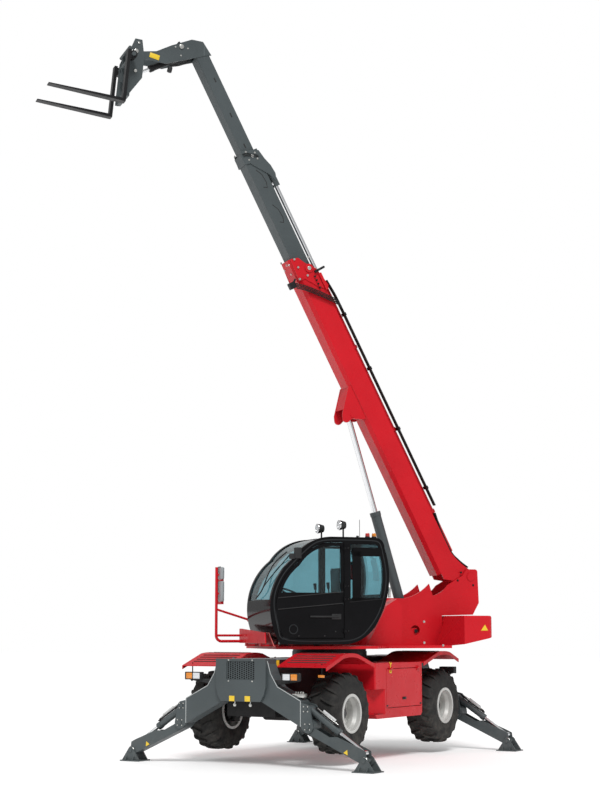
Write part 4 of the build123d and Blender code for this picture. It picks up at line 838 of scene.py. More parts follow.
class TELEHANDLER_OT_chassis_trim(Operator):
    """Grille, lamps, tags, deck plates, grips and latches of the chassis"""

    bl_idname = "telehandler.chassis_trim"
    bl_label = "Chassis Trim"

    def execute(self, context):
        keep = keeper(MACHINE, "carrier", "grey_steel")
        # grille: dark back sheet, painted shade standing in for the dark behind its openings, then upright
        # bars and staggered cross links
        bm = bmesh.new()
        block(bm, (0, -2.3225, 1.252), (0.440, 0.003, 0.240), 0.001)
        keep("grille_back_shade", bm, "black_steel", "black_steel")
        bm = bmesh.new()
        for number in range(13):
            block(bm, ((number - 6) * GRILLE_PITCH, -2.3305, 1.252), (0.013, 0.010, 0.243), 0.002,
                segments=1)
        for column in range(12):
            for row in range(9):
                x = (column - 5.5) * GRILLE_PITCH
                z = 1.146 + row * 0.0265 + (0.013 if column % 2 else 0)
                block(bm, (x, -2.3305, z), (0.026, 0.008, 0.009), 0.001, segments=1)
        for z in (1.1335, 1.3705):
            block(bm, (0, -2.331, z), (0.445, 0.013, 0.008), 0.001, segments=1)
        keep("grille_mesh", bm, "grey_enamel")
        bm = bmesh.new()
        for x in (-0.187, 0.187):
            for z in (1.112, 1.387):
                bolt(bm, (x, -2.344, z), (0, -1, 0), 0.009)
        for x, y, z in ((0.30, -2.06, 1.399), (-0.30, -2.06, 1.399), (0.30, -1.0, 1.399),
            (-0.30, -1.0, 1.399)):
            bolt(bm, (x, y, z), (0, 0, 1), 0.012)
        keep("shield_screws", bm, "zinc")
        # blank tags over the towing eyes and beside the deck
        bm = bmesh.new()
        for x in (-0.134, 0.112):
            block(bm, (x, -2.3455, 0.884), (0.084, 0.004, 0.070), 0.001)
        block(bm, (0.3815, -2.02, 1.345), (0.003, 0.07, 0.075), 0.001)
        keep("blank_tags", bm, "yellow")
        bm = bmesh.new()
        for x in (-0.112, 0.134):
            rod(bm, (x, -2.30, 0.845), (x, -2.30, 0.80), 0.007, 10)
            rod(bm, (x, -2.31, 0.80), (x, -2.29, 0.80), 0.022, 16, 0.003)
        keep("towing_eyes", bm, "zinc")
        # painted highlights: light grey rods along the edges of the shield's gussets and the beam, where
        # light catches them
        bm = bmesh.new()
        edge = [(0.395, 1.375), (0.445, 1.21), (0.55, 1.045), (0.903, 0.87), (0.903, 0.545)]
        for end, hand in QUARTERS:
            for (x0, z0), (x1, z1) in zip(edge, edge[1:]):
                rod(bm, (hand * x0, end * 2.302, z0), (hand * x1, end * 2.302, z1), 0.006, 8)
        keep("beam_edge_highlights", bm, "edge_highlight_grey")
        # grey deck plates, and anti-slip strips on the fenders
        bm = bmesh.new()
        block(bm, (0, -1.34, 1.394), (0.745, 1.46, 0.008), 0.002)
        block(bm, (0, 1.34, 1.394), (0.745, 1.46, 0.008), 0.002)
        keep("deck_plates", bm, "deck")
        bm = bmesh.new()
        for hand in (-1, 1):
            for reach in (0.26, 0.34, 0.42, 0.50):
                at = (hand * 0.76, -AXLE_Y - reach, fender_height(reach) + 0.001)
                block(bm, at, STRIP_SIZE, 0.001, FENDER_SLOPE, 1)
            for reach in (-0.12, 0.0, 0.12):
                for y in (-AXLE_Y - reach, AXLE_Y + reach):
                    block(bm, (hand * 0.76, y, 1.4725 - 0.4 * reach * reach), STRIP_SIZE, 0.001, segments=1)
        keep("fender_strips", bm, "strip", "black_steel")
        # lamp lenses
        for name, material, x0, x1, end in (
            ("amber_lamps", "amber_lens", 0.778, 0.876, -1),
            ("head_lamps", "clear_lens", 0.656, 0.766, -1),
            ("tail_lamps", "red_lens", 0.656, 0.766, 1),
            ("rear_amber_lamps", "amber_lens", 0.778, 0.876, 1),
        ):
            bm = bmesh.new()
            for hand in (-1, 1):
                block(bm, (hand * (x0 + x1) / 2, end * 2.340, LAMP_Z), (x1 - x0, 0.014, 0.082), 0.006)
            keep(name, bm, material, "lamp_housing")
        bm = bmesh.new()
        for end, hand in QUARTERS:
            block(bm, (hand * 0.766, end * 2.297, LAMP_Z), (0.25, 0.078, 0.1), 0.008)
            arm = Matrix.Translation((0, end * 2.25 + 0.03, 0)) @ Matrix.Rotation(pi / 2, 4, "X")
            plate(bm, [(hand * x, z) for x, z in ((0.534, 1.07), (0.86, 1.116), (0.86, 1.13),
                (0.496, 1.13))], 0.06, arm)
        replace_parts(keep("lamp_bodies", bm, "plastic", "lamp_housing"), "lamps")
        bm = bmesh.new()
        for end, hand in QUARTERS:
            for z in (1.1275, 1.2185):
                block(bm, (hand * 0.766, end * 2.338, z), (0.252, 0.022, 0.012), 0.004)
            for x in (0.645, 0.772, 0.887):
                block(bm, (hand * x, end * 2.338, LAMP_Z), (0.011, 0.022, 0.1), 0.004)
            for x in (0.72, 0.81):
                rod(bm, (hand * x, end * 2.30, 1.10), (hand * x, end * 2.30, 1.128), 0.012, 10)
        keep("lamp_surrounds", bm, "plastic", "lamp_housing")
        # latches, reflectors and grip of the side boxes
        bm = bmesh.new()
        for hand in (-1, 1):
            x = hand * 1.127
            for y0, z0, y1, z1 in (
                (-0.262, 1.19, -0.262, 1.25), (-0.262, 1.25, -0.222, 1.25), (-0.222, 1.25, -0.222, 1.19),
                (-0.222, 1.19, -0.262, 1.19), (-0.242, 1.25, -0.242, 1.30), (-0.242, 1.30, -0.215, 1.325),
                (-0.242, 1.30, -0.27, 1.335),
            ):
                rod(bm, (x, y0, z0), (x, y1, z1), 0.007, 8)
        keep("box_latches", bm, "yellow")
        bm = bmesh.new()
        for hand in (-1, 1):
            for y, z in ((-0.205, 1.14), (0.70, 1.14)):
                rod(bm, (hand * 1.122, y, z), (hand * 1.129, y, z), 0.013, 16, 0.002)
            rod(bm, (hand * 0.42, 2.338, 0.98), (hand * 0.42, 2.348, 0.98), 0.03, 20, 0.003)
        keep("box_reflectors", bm, "red_lens", "lamp_housing")
        bm = bmesh.new()
        for hand in (-1, 1):
            for y in (-0.335, 0.675):
                block(bm, (hand * 1.1235, y, 0.74), (0.006, 0.05, 0.02), 0.002)
            for y in (-0.62, -0.60):
                rod(bm, (hand * 1.0, y, 1.330), (hand * 1.0, y, 1.338), 0.012, 10)
            block(bm, (hand * 1.1275, 0.17, 0.83), (0.009, 0.11, 0.035), 0.004)
            rod(bm, (hand * 1.124, 0.17, 0.83), (hand * 1.139, 0.17, 0.83), 0.011, 12, 0.002)
        keep("hatch_locks", bm, "black_steel", "black_steel")
        bm = bmesh.new()
        for y in (-0.45, -0.40, -0.35):
            block(bm, (1.03, y - 0.09, 0.6335), (0.15, 0.02, 0.004), 0.001, segments=1)
        keep("step_tread", bm, "strip", "black_steel")
        # amber marker on its stalk, under each front fender
        bm = bmesh.new()
        for hand in (-1, 1):
            block(bm, (hand * 1.03, -1.985, 1.18), (0.09, 0.02, 0.035), 0.004)
        keep("side_markers", bm, "amber_lens", "lamp_housing")
        bm = bmesh.new()
        for hand in (-1, 1):
            rod(bm, (hand * 1.03, -1.97, 1.19), (hand * 1.03, -1.97, 1.34), 0.008, 8)
        keep("marker_stalks", bm, "black_steel", "black_steel")
        # hoses along both beams and down to the axles
        routes = (
            ((0.36, -2.05, 1.0), (0.55, -2.03, 0.98), (0.75, -2.05, 0.93), (0.93, -2.09, 0.89)),
            ((0.36, -2.03, 0.95), (0.60, -2.0, 0.93), (0.80, -2.02, 0.90), (0.94, -2.07, 0.86)),
            ((0.36, 2.05, 1.0), (0.55, 2.03, 0.98), (0.75, 2.05, 0.93), (0.93, 2.09, 0.89)),
        )
        hoses("beam_hoses", [
            [(hand * x, y, z) for x, y, z in route] for route in routes for hand in (-1, 1)
        ], 0.011, MACHINE, "carrier", MATERIALS["hose"])
        hoses("axle_hoses", [
            [(hand * 0.30, end * 1.3, 0.95), (hand * 0.40, end * 1.28, 0.80),
                (hand * 0.58, end * 1.30, 0.78)]
            for hand in (-1, 1) for end in (-1, 1)
        ], 0.010, MACHINE, "carrier", MATERIALS["hose"])
        # valve block on the front beam's left shoulder, with its fittings
        bm = bmesh.new()
        block(bm, (0.83, -2.20, 0.935), (0.16, 0.12, 0.05), 0.005)
        for number in range(4):
            rod(bm, (0.775 + number * 0.036, -2.20, 0.955), (0.775 + number * 0.036, -2.20, 0.985), 0.010,
                12, 0.002)
        keep("valve_block", bm, "zinc")
        return {"FINISHED"}


# ------------------------------------------------------------------ stabiliser legs
class TELEHANDLER_OT_leg_trim(Operator):
    """Ring nuts, covers, ports, pipes and tags of the four stabiliser legs"""

    bl_idname = "telehandler.leg_trim"
    bl_label = "Leg Trim"

    def execute(self, context):
        for corner in CORNERS:
            hand = 1 if corner.endswith("left") else -1
            end = -1 if corner.startswith("front") else 1
            out = Vector((0, end, 0))

            def keep(name, bm, body, material, slot="grey_steel"):
                return piece(f"{corner}_{name}", bm, MACHINE, body, MATERIALS[material])

            # dark pin ends with bright ring nuts, on the beam's ears
            bm = bmesh.new()
            for x, z, radius in ((1.005, 0.545, 0.030), (0.98, 0.77, 0.024)):
                for side in (-1, 1):
                    face = Vector((hand * x, end * BEAM_Y + side * 0.1105, z))
                    way = Vector((0, side, 0))
                    rod(bm, face - way * 0.002, face + way * 0.010, radius, 24, 0.003)
                    for number in range(4):
                        angle = pi / 4 + number * pi / 2
                        off = Vector((cos(angle), 0, sin(angle))) * (radius + 0.020)
                        bolt(bm, face + off, way, 0.0075)
            keep("pin_nuts", bm, "carrier", "zinc")
            # leg: ring nuts at the foot's pin, and a blank triangle
            bm = bmesh.new()
            for side in (-1, 1):
                face = Vector((hand * 1.83, end * BEAM_Y + side * 0.0805, 0.145))
                way = Vector((0, side, 0))
                ring = [
                    (0.0, 0.026), (0.0, 0.046), (0.008, 0.048), (0.014, 0.042), (0.014, 0.026),
                    (0.0, 0.026),
                ]
                turn = Matrix.Translation(face) @ way.to_track_quat("X", "Z").to_matrix().to_4x4()
                spun_at(bm, ring, 28, turn)
            keep("foot_pin_nuts", bm, f"{corner}_leg", "zinc")
            along = Vector((hand * 0.825, 0, -0.400)).normalized()
            up = Vector((hand * 0.400, 0, 0.825)).normalized()
            middle = Vector((hand * 1.565, end * 2.271, 0.243))
            place = Matrix((along, up, along.cross(up))).transposed().to_4x4()
            place.translation = middle
            bm = bmesh.new()
            size = 0.034
            triangle = [(-size, -size * 0.7), (size, -size * 0.7), (0, size * 1.0)]
            depth = 0.003 if along.cross(up).dot(out) > 0 else -0.003
            plate(bm, triangle, depth, place, 0)
            keep("blank_triangle", bm, f"{corner}_leg", "yellow")
            # bright cover over the cylinder, its ports and the pipe between them
            ram = Vector((hand * 0.8347, 0, -0.5507))
            top = Vector((hand * 0.5507, 0, 0.8347))
            start = Vector((hand * 0.98, end * BEAM_Y, 0.77))
            bm = bmesh.new()
            a, b = start + ram * 0.18 + top * 0.068, start + ram * 0.40 + top * 0.068
            strip_along(bm, a, b, 0.085, 0.006, (0, 1, 0) if hand * end < 0 else (0, -1, 0))
            keep("ram_cover", bm, f"{corner}_ram", "white")
            bm = bmesh.new()
            for reach in (0.10, 0.47):
                at = start + ram * reach + top * 0.050
                rod(bm, at, at + top * 0.028, 0.013, 12, 0.002)
                rod(bm, at + top * 0.026, at + top * 0.026 - ram * 0.03, 0.009, 10, 0.002)
            block_turn = Matrix((ram, Vector((0, 1, 0)),
                ram.cross(Vector((0, 1, 0))))).transposed().to_4x4()
            block(bm, start + ram * 0.285 + top * 0.062, (0.42, 0.05, 0.016), 0.004, block_turn)
            keep("ram_ports", bm, f"{corner}_ram", "black_steel", "black_steel")
            hoses(f"{corner}_ram_pipe", [[
                start + ram * 0.10 + top * 0.078 + out * 0.012,
                start + ram * 0.2 + top * 0.082 + out * 0.03,
                start + ram * 0.35 + top * 0.078 + out * 0.03,
                start + ram * 0.47 + top * 0.078 + out * 0.012,
            ]], 0.006, MACHINE, f"{corner}_ram", MATERIALS["zinc"])
        return {"FINISHED"}


# ------------------------------------------------------------------ cab
# side outline of the cab as (ahead, up) in the turret's frame
CAB_OUTLINE = (
    (1.165, 1.585), (1.232, 1.75), (1.292, 2.0), (1.308, 2.18), (1.27, 2.36), (1.16, 2.57), (0.985, 2.755),
    (0.745, 2.975), (0.60, 3.045), (0.42, 3.065), (0.1, 3.065), (-0.25, 3.065), (-0.35, 3.018),
    (-0.385, 2.92),
    (-0.452, 2.62), (-0.448, 2.40), (-0.395, 2.15), (-0.30, 1.93), (-0.11, 1.7), (0.03, 1.62), (0.2, 1.585),
)


def inset(outline, amount):
    """Closed outline shrunk by an amount, corner by corner."""
    made = []
    for index, point in enumerate(outline):
        before, after = Vector(outline[index - 1]), Vector(outline[(index + 1) % len(outline)])
        tangent = (after - before).normalized()
        made.append(Vector(point) + Vector((-tangent.y, tangent.x)) * amount)
    return made


class TELEHANDLER_OT_cab_trim(Operator):
    """Frame tubes, skins, wiper, lamps and fittings of the cab"""

    bl_idname = "telehandler.cab_trim"
    bl_label = "Cab Trim"

    def execute(self, context):
        keep = keeper(TURRET, "turret", "cab_plastic")
        middle = inset(CAB_OUTLINE, 0.041)
        frame_tube("cab_side_tube", [(1.082, -p.x, p.y) for p in middle], 0.040, "cab_grey")
        far = inset(CAB_OUTLINE, 0.022)
        frame_tube("cab_far_tube", [(0.173, -p.x, p.y) for p in far], 0.020, "cab_gloss")
        bm = bmesh.new()
        rod(bm, (1.083, -0.1875, 1.63), (1.083, -0.1875, 3.03), 0.036, 20)
        keep("cab_post", bm, "cab_grey", "cab_paint")
        # glossy nose skin under the windscreen
        rows = CAB_OUTLINE[:4]
        bm = bmesh.new()
        verts = [bm.verts.new((0.17, -(f + 0.004), z)) for f, z in rows]
        edges = [bm.edges.new(pair) for pair in zip(verts, verts[1:])]
        made = bmesh.ops.extrude_edge_only(bm, edges=edges)["geom"]
        bmesh.ops.translate(bm, vec=(0.875, 0, 0),
            verts=[v for v in made if isinstance(v, bmesh.types.BMVert)])
        bmesh.ops.solidify(bm, geom=bm.faces[:], thickness=0.003)
        keep("cab_nose_skin", bm, "cab_nose", "cab_paint")
        # door: ledges, handle, small caps and a vent's ring
        bm = bmesh.new()
        strip_along(bm, (1.1235, -1.205, 2.060), (1.1235, -0.245, 2.148), 0.012, 0.010, (1, 0, 0))
        strip_along(bm, (1.1235, -1.205, 2.215), (1.1235, -0.245, 2.305), 0.012, 0.006, (1, 0, 0))
        block(bm, (1.128, -0.525, 1.963), (0.014, 0.424, 0.024), 0.005)
        block(bm, (1.1235, -0.345, 1.963), (0.006, 0.14, 0.075), 0.003)
        rod(bm, (1.12, -0.345, 1.985), (1.135, -0.345, 1.985), 0.014, 14, 0.002)
        for y, z in ((-0.90, 1.70), (-0.52, 1.70), (-0.36, 1.76)):
            rod(bm, (1.12, y, z), (1.1265, y, z), 0.011, 12, 0.001)
        keep("door_fittings", bm, "plastic", body="cab_door")
        bm = bmesh.new()
        vent = [(0.0, 0.052), (0.0, 0.068), (0.005, 0.067), (0.006, 0.056), (0.0, 0.052)]
        spun_at(bm, vent, 36, Matrix.Translation((1.1205, -0.98, 1.79)))
        keep("door_vent_ring", bm, "cab_grey", body="cab_door")
        # rear corner panel line and hinge bolts
        bm = bmesh.new()
        strip_along(bm, (1.1225, -0.15, 2.163), (1.1225, 0.375, 2.213), 0.012, 0.006, (1, 0, 0))
        for z in (1.767, 2.206, 2.385, 2.91):
            for y in (-0.211, -0.165):
                rod(bm, (1.117, y, z), (1.128, y, z), 0.010, 12, 0.002)
        keep("cab_hinge_bolts", bm, "black_steel", "black_steel")
        bm = bmesh.new()
        block(bm, (1.1195, 0.13, 2.16), (0.003, 0.50, 0.13), 0.001, segments=1)
        block(bm, (1.1195, -0.04, 2.52), (0.003, 0.13, 0.70), 0.001, segments=1)
        block(bm, (1.1195, 0.13, 2.86), (0.003, 0.44, 0.12), 0.001, segments=1)
        keep("rear_pane_border", bm, "cab_gloss", "cab_paint")
        # wiper motor box on the side of the screen, with its arms
        bm = bmesh.new()
        block(bm, (1.115, -0.915, 2.83), (0.05, 0.10, 0.15), 0.008)
        block(bm, (1.115, -1.00, 2.785), (0.045, 0.07, 0.075), 0.006)
        keep("wiper_motor", bm, "plastic")
        frame_tube(
            "wiper_arm", [(1.09, -1.03, 2.80), (0.97, -1.155, 2.61), (0.86, -1.25, 2.47),
                (0.78, -1.30, 2.36)],
            0.007, "hose", False,
        )
        frame_tube(
            "wiper_blade",
            [(0.70, -0.915, 2.865), (0.62, -1.06, 2.745), (0.70, -1.20, 2.55), (0.79, -1.285, 2.40),
             (0.75, -1.325, 2.285), (0.57, -1.33, 2.217)],
            0.009, "hose", False,
        )
        # work lamps over the screen, beacons and knob behind them
        for x, y, z in ((1.0, -0.22, 3.235), (0.3, -0.27, 3.225)):
            tag = "near" if x > 0.6 else "far"
            bm = bmesh.new()
            rod(bm, (x, y + 0.03, 3.06), (x, y + 0.03, z - 0.05), 0.012, 12)
            rod(bm, (x, y + 0.062, z), (x, y - 0.030, z), 0.050, 24, 0.008, 0.072)
            keep(f"roof_lamp_{tag}_body", bm, "plastic", "lamp_housing")
            bm = bmesh.new()
            rod(bm, (x, y - 0.028, z), (x, y - 0.040, z), 0.060, 28, 0.004)
            keep(f"roof_lamp_{tag}_lens", bm, "clear_lens", "glass")
            bm = bmesh.new()
            rim = [(0.0, 0.058), (0.0, 0.073), (0.012, 0.070), (0.014, 0.060), (0.0, 0.058)]
            spun_at(bm, rim, 36, Matrix.Translation((x, y - 0.028, z)) @ Matrix.Rotation(-pi / 2, 4, "Z"))
            keep(f"roof_lamp_{tag}_ring", bm, "chrome", "chrome_rod")
        for tag, y, material in (("red", 0.20, "red_lens"), ("orange", 0.30, "amber_lens")):
            bm = bmesh.new()
            rod(bm, (0.95, y, 3.06), (0.95, y, 3.085), 0.036, 24, 0.003)
            keep(f"beacon_{tag}_base", bm, "plastic", "lamp_housing")
            bm = bmesh.new()
            rod(bm, (0.95, y, 3.084), (0.95, y, 3.135), 0.033, 24, 0.010, 0.029)
            keep(f"beacon_{tag}", bm, material, "lamp_housing")
        bm = bmesh.new()
        rod(bm, (1.0, 0.027, 3.06), (1.0, 0.027, 3.092), 0.02, 20, 0.006)
        rod(bm, (0.55, 0.25, 3.06), (0.55, 0.25, 3.35), 0.004, 8)
        rod(bm, (0.55, 0.25, 3.06), (0.55, 0.25, 3.085), 0.018, 16, 0.003)
        keep("roof_fittings", bm, "plastic")
        # inside: extinguisher and levers
        bm = bmesh.new()
        rod(bm, (0.25, 0.24, 2.50), (0.25, 0.24, 2.72), 0.045, 20, 0.012)
        keep("extinguisher", bm, "red_enamel", "red_paint")
        bm = bmesh.new()
        rod(bm, (0.25, 0.24, 2.715), (0.25, 0.24, 2.76), 0.016, 14, 0.003)
        rod(bm, (0.25, 0.20, 2.755), (0.25, 0.28, 2.755), 0.008, 10)
        for x, y, z in ((0.36, -0.347, 2.33), (0.86, -0.347, 2.33)):
            rod(bm, (x, y, z - 0.09), (x, y - 0.012, z + 0.03), 0.010, 12)
            rod(bm, (x, y - 0.012, z + 0.02), (x, y - 0.022, z + 0.11), 0.019, 16, 0.007, 0.024)
        keep("cab_levers", bm, "plastic")
        # fitting behind the cab
        bm = bmesh.new()
        rod(bm, (0.235, 0.85, 2.25), (0.235, 0.85, 2.40), 0.022, 16, 0.004)
        rod(bm, (0.20, 0.85, 2.33), (0.27, 0.85, 2.33), 0.012, 12, 0.002)
        keep("rear_fitting", bm, "zinc", "chrome_rod")
        return {"FINISHED"}


def pad(size, centre, crown, lean=0.0):
    """Crowned closed form whose sides pull in between its corners."""
    bm = bmesh.new()
    bmesh.ops.create_cube(bm, size=1)
    bmesh.ops.subdivide_edges(bm, edges=bm.edges[:], cuts=9, use_grid_fill=True)
    for vert in bm.verts:
        u, v, w = (2 * c for c in vert.co)
        pull = 1 - 0.05 * (1 - v * v)
        tuck = 1 - 0.05 * (1 - u * u)
        edge = 1 - 0.10 * w * w
        swell = crown * (1 - u ** 4) * (1 - v ** 4) * max(0.0, w)
        vert.co = (u * size[0] / 2 * pull * edge, v * size[1] / 2 * tuck * edge, w * size[2] / 2 + swell)
    bm.transform(Matrix.Translation(centre) @ Matrix.Rotation(lean, 4, "X"))
    return bm


def baked(obj):
    """Mesh of an object with its modifiers applied."""
    graph = bpy.context.evaluated_depsgraph_get()
    return bpy.data.meshes.new_from_object(obj.evaluated_get(graph))


PAD_VOXEL = 0.008
PAD_SWELL = 0.012
PAD_PRESSURE = 4.0
PAD_FRAMES = 20


def inflate(obj, voxel, most):
    """Blow a pad up as cloth under pressure, no point going further than the cap."""
    scene = bpy.context.scene
    remesh = obj.modifiers.new("Remesh", "REMESH")
    remesh.mode = "VOXEL"
    remesh.voxel_size = voxel
    mesh = baked(obj)
    obj.modifiers.clear()
    obj.data = mesh
    rest = [vert.co.copy() for vert in mesh.vertices]
    cloth = obj.modifiers.new("Cloth", "CLOTH")
    cloth.settings.use_pressure = True
    cloth.settings.uniform_pressure_force = PAD_PRESSURE
    cloth.settings.effector_weights.gravity = 0.0
    cloth.point_cache.frame_start = 1
    cloth.point_cache.frame_end = PAD_FRAMES
    for number in range(1, PAD_FRAMES + 1):
        scene.frame_set(number)
    blown = baked(obj)
    obj.modifiers.clear()
    scene.frame_set(1)
    for vert, start, end in zip(mesh.vertices, rest, blown.vertices):
        move = end.co - start
        if move.length > most:
            move *= most / move.length
        vert.co = start + move
    bpy.data.meshes.remove(blown)
    mesh.shade_smooth()


class TELEHANDLER_OT_seat(Operator):
    """Padded cushion and backrest of the operator's seat, with piped seams"""

    bl_idname = "telehandler.seat"
    bl_label = "Cushions"

    def execute(self, context):
        for name, size, centre, crown, lean in (
            ("seat_cushion", (0.42, 0.42, 0.07), (0.635, -0.33, 2.052), 0.012, 0.0),
            ("seat_backrest", (0.40, 0.52, 0.05), (0.635, -0.140, 2.405), 0.006, pi / 2),
        ):
            bm = pad(size, centre, crown, lean)
            obj = piece(name, bm, TURRET, "turret", MATERIALS["seat"], crease=pi)
            inflate(obj, PAD_VOXEL, PAD_SWELL)
            smooth = obj.modifiers.new("Smooth", "SUBSURF")
            smooth.levels = smooth.render_levels = 1
            if name == "seat_cushion":
                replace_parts(obj, "operator_seat")
        x0, x1 = 0.432, 0.838
        frame_tube(
            "cushion_piping",
            [(x0, -0.52, 2.06), (x0, -0.33, 2.062), (x0, -0.14, 2.06), (0.635, -0.135, 2.062),
                (x1, -0.14, 2.06),
             (x1, -0.33, 2.062), (x1, -0.52, 2.06), (0.635, -0.535, 2.062)],
            0.005, "seat",
        )
        bm = bmesh.new()
        block(bm, (0.635, -0.105, 2.40), (0.36, 0.02, 0.50), 0.008)
        block(bm, (0.635, -0.32, 2.010), (0.36, 0.36, 0.018), 0.006)
        block(bm, (0.635, -0.104, 2.12), (0.08, 0.02, 0.22), 0.006)
        piece("seat_shell", bm, TURRET, "turret", MATERIALS["plastic"])
        return {"FINISHED"}


class TELEHANDLER_OT_guard_trim(Operator):
    """Mirrors, bumper plate and tubes in front of the cab"""

    bl_idname = "telehandler.guard_trim"
    bl_label = "Guard Trim"

    def execute(self, context):
        keep = keeper(TURRET, "turret", "black_steel")
        bm = bmesh.new()
        place = Matrix.Translation((0, -1.2545, 0)) @ Matrix.Rotation(pi / 2, 4, "X")
        plate(bm, [(-0.077, 1.555), (-0.145, 1.682), (0.18, 1.739), (0.888, 1.74), (1.102, 1.552)], 0.004,
            place, 0.001)
        keep("bumper_face", bm, "bumper_red", "red_paint")
        # painted highlight: light red rods along the bumper plate's upper edges
        bm = bmesh.new()
        rod(bm, (0.892, -1.252, 1.742), (1.106, -1.252, 1.553), 0.007, 8)
        rod(bm, (-0.145, -1.256, 1.684), (0.18, -1.256, 1.741), 0.004, 8)
        rod(bm, (0.18, -1.256, 1.742), (0.888, -1.256, 1.742), 0.004, 8)
        keep("bumper_edge_highlight", bm, "red_edge_highlight", "red_paint")
        bm = bmesh.new()
        for x0, z0, x1, z1 in ((0.02, 2.16, 0.02, 2.66), (0.02, 2.66, 0.10, 2.66),
            (0.02, 2.20, 0.10, 2.20)):
            rod(bm, (x0, -1.70, z0), (x1, -1.70, z1), 0.011, 12)
        for z in (2.27, 2.57):
            rod(bm, (-0.02, -1.70, z), (0.075, -1.70, z), 0.008, 10)
        keep("mirror_bracket", bm, "black_steel")
        for tag, z0, z1 in (("upper", 2.485, 2.66), ("lower", 2.175, 2.465)):
            bm = bmesh.new()
            block(bm, (0.135, -1.70, (z0 + z1) / 2), (0.165, 0.04, z1 - z0), 0.018, segments=3)
            keep(f"mirror_{tag}_shell", bm, "deck", "cab_plastic")
            bm = bmesh.new()
            block(bm, (0.135, -1.678, (z0 + z1) / 2), (0.145, 0.006, z1 - z0 - 0.02), 0.003)
            keep(f"mirror_{tag}_glass", bm, "mirror", "chrome_rod")
        return {"FINISHED"}


class TELEHANDLER_OT_turret_trim(Operator):
    """Pin caps, bolts, blank tag and slew ring cover of the turret"""

    bl_idname = "telehandler.turret_trim"
    bl_label = "Turret Trim"

    def execute(self, context):
        keep = keeper(TURRET, "turret", "grey_steel")
        bm = bmesh.new()
        for side, face in ((1, -0.085), (-1, -0.515)):
            rod(bm, (face, 2.336, 2.578), (face + side * 0.010, 2.336, 2.578), 0.040, 32, 0.004)
        keep("pivot_pin_caps", bm, "black_steel", "black_steel")
        bm = bmesh.new()
        for y, z in ((2.177, 2.64), (2.377, 2.452), (2.12, 2.52)):
            bolt(bm, (-0.085, y, z), (1, 0, 0), 0.013)
        rod(bm, (-0.087, 1.421, 1.766), (-0.083, 1.421, 1.766), 0.03, 24, 0.001)
        keep("cheek_bolts", bm, "black_steel", "black_steel")
        bm = bmesh.new()
        place = Matrix.Translation((0.5605, 0, 0)) @ Matrix(((0, 0, 1, 0), (1, 0, 0, 0), (0, 1, 0, 0),
            (0, 0, 0, 1)))
        plate(bm, [(2.168, 1.773), (2.283, 1.773), (2.233, 1.858)], 0.002, place, 0)
        keep("weight_triangle", bm, "yellow")
        bm = bmesh.new()
        for y, z in ((1.25, 1.60), (1.25, 1.90), (1.55, 1.56)):
            bolt(bm, (0.56, y, z), (1, 0, 0), 0.014)
        keep("weight_bolts", bm, "zinc")
        bm = bmesh.new()
        ring = [(1.4815, 0.50), (1.4815, 0.531), (1.519, 0.531), (1.519, 0.50), (1.4815, 0.50)]
        spun(bm, ring, 72)
        bm.transform(Matrix.Rotation(-pi / 2, 4, "Y"))
        keep("slew_ring_cover", bm, "black_steel", "black_steel")
        bm = bmesh.new()
        for number in range(36):
            angle = 2 * pi * number / 36
            bolt(bm, (0.515 * cos(angle), 0.515 * sin(angle), 1.519), (0, 0, 1), 0.011)
        keep("slew_bolts", bm, "zinc")
        return {"FINISHED"}


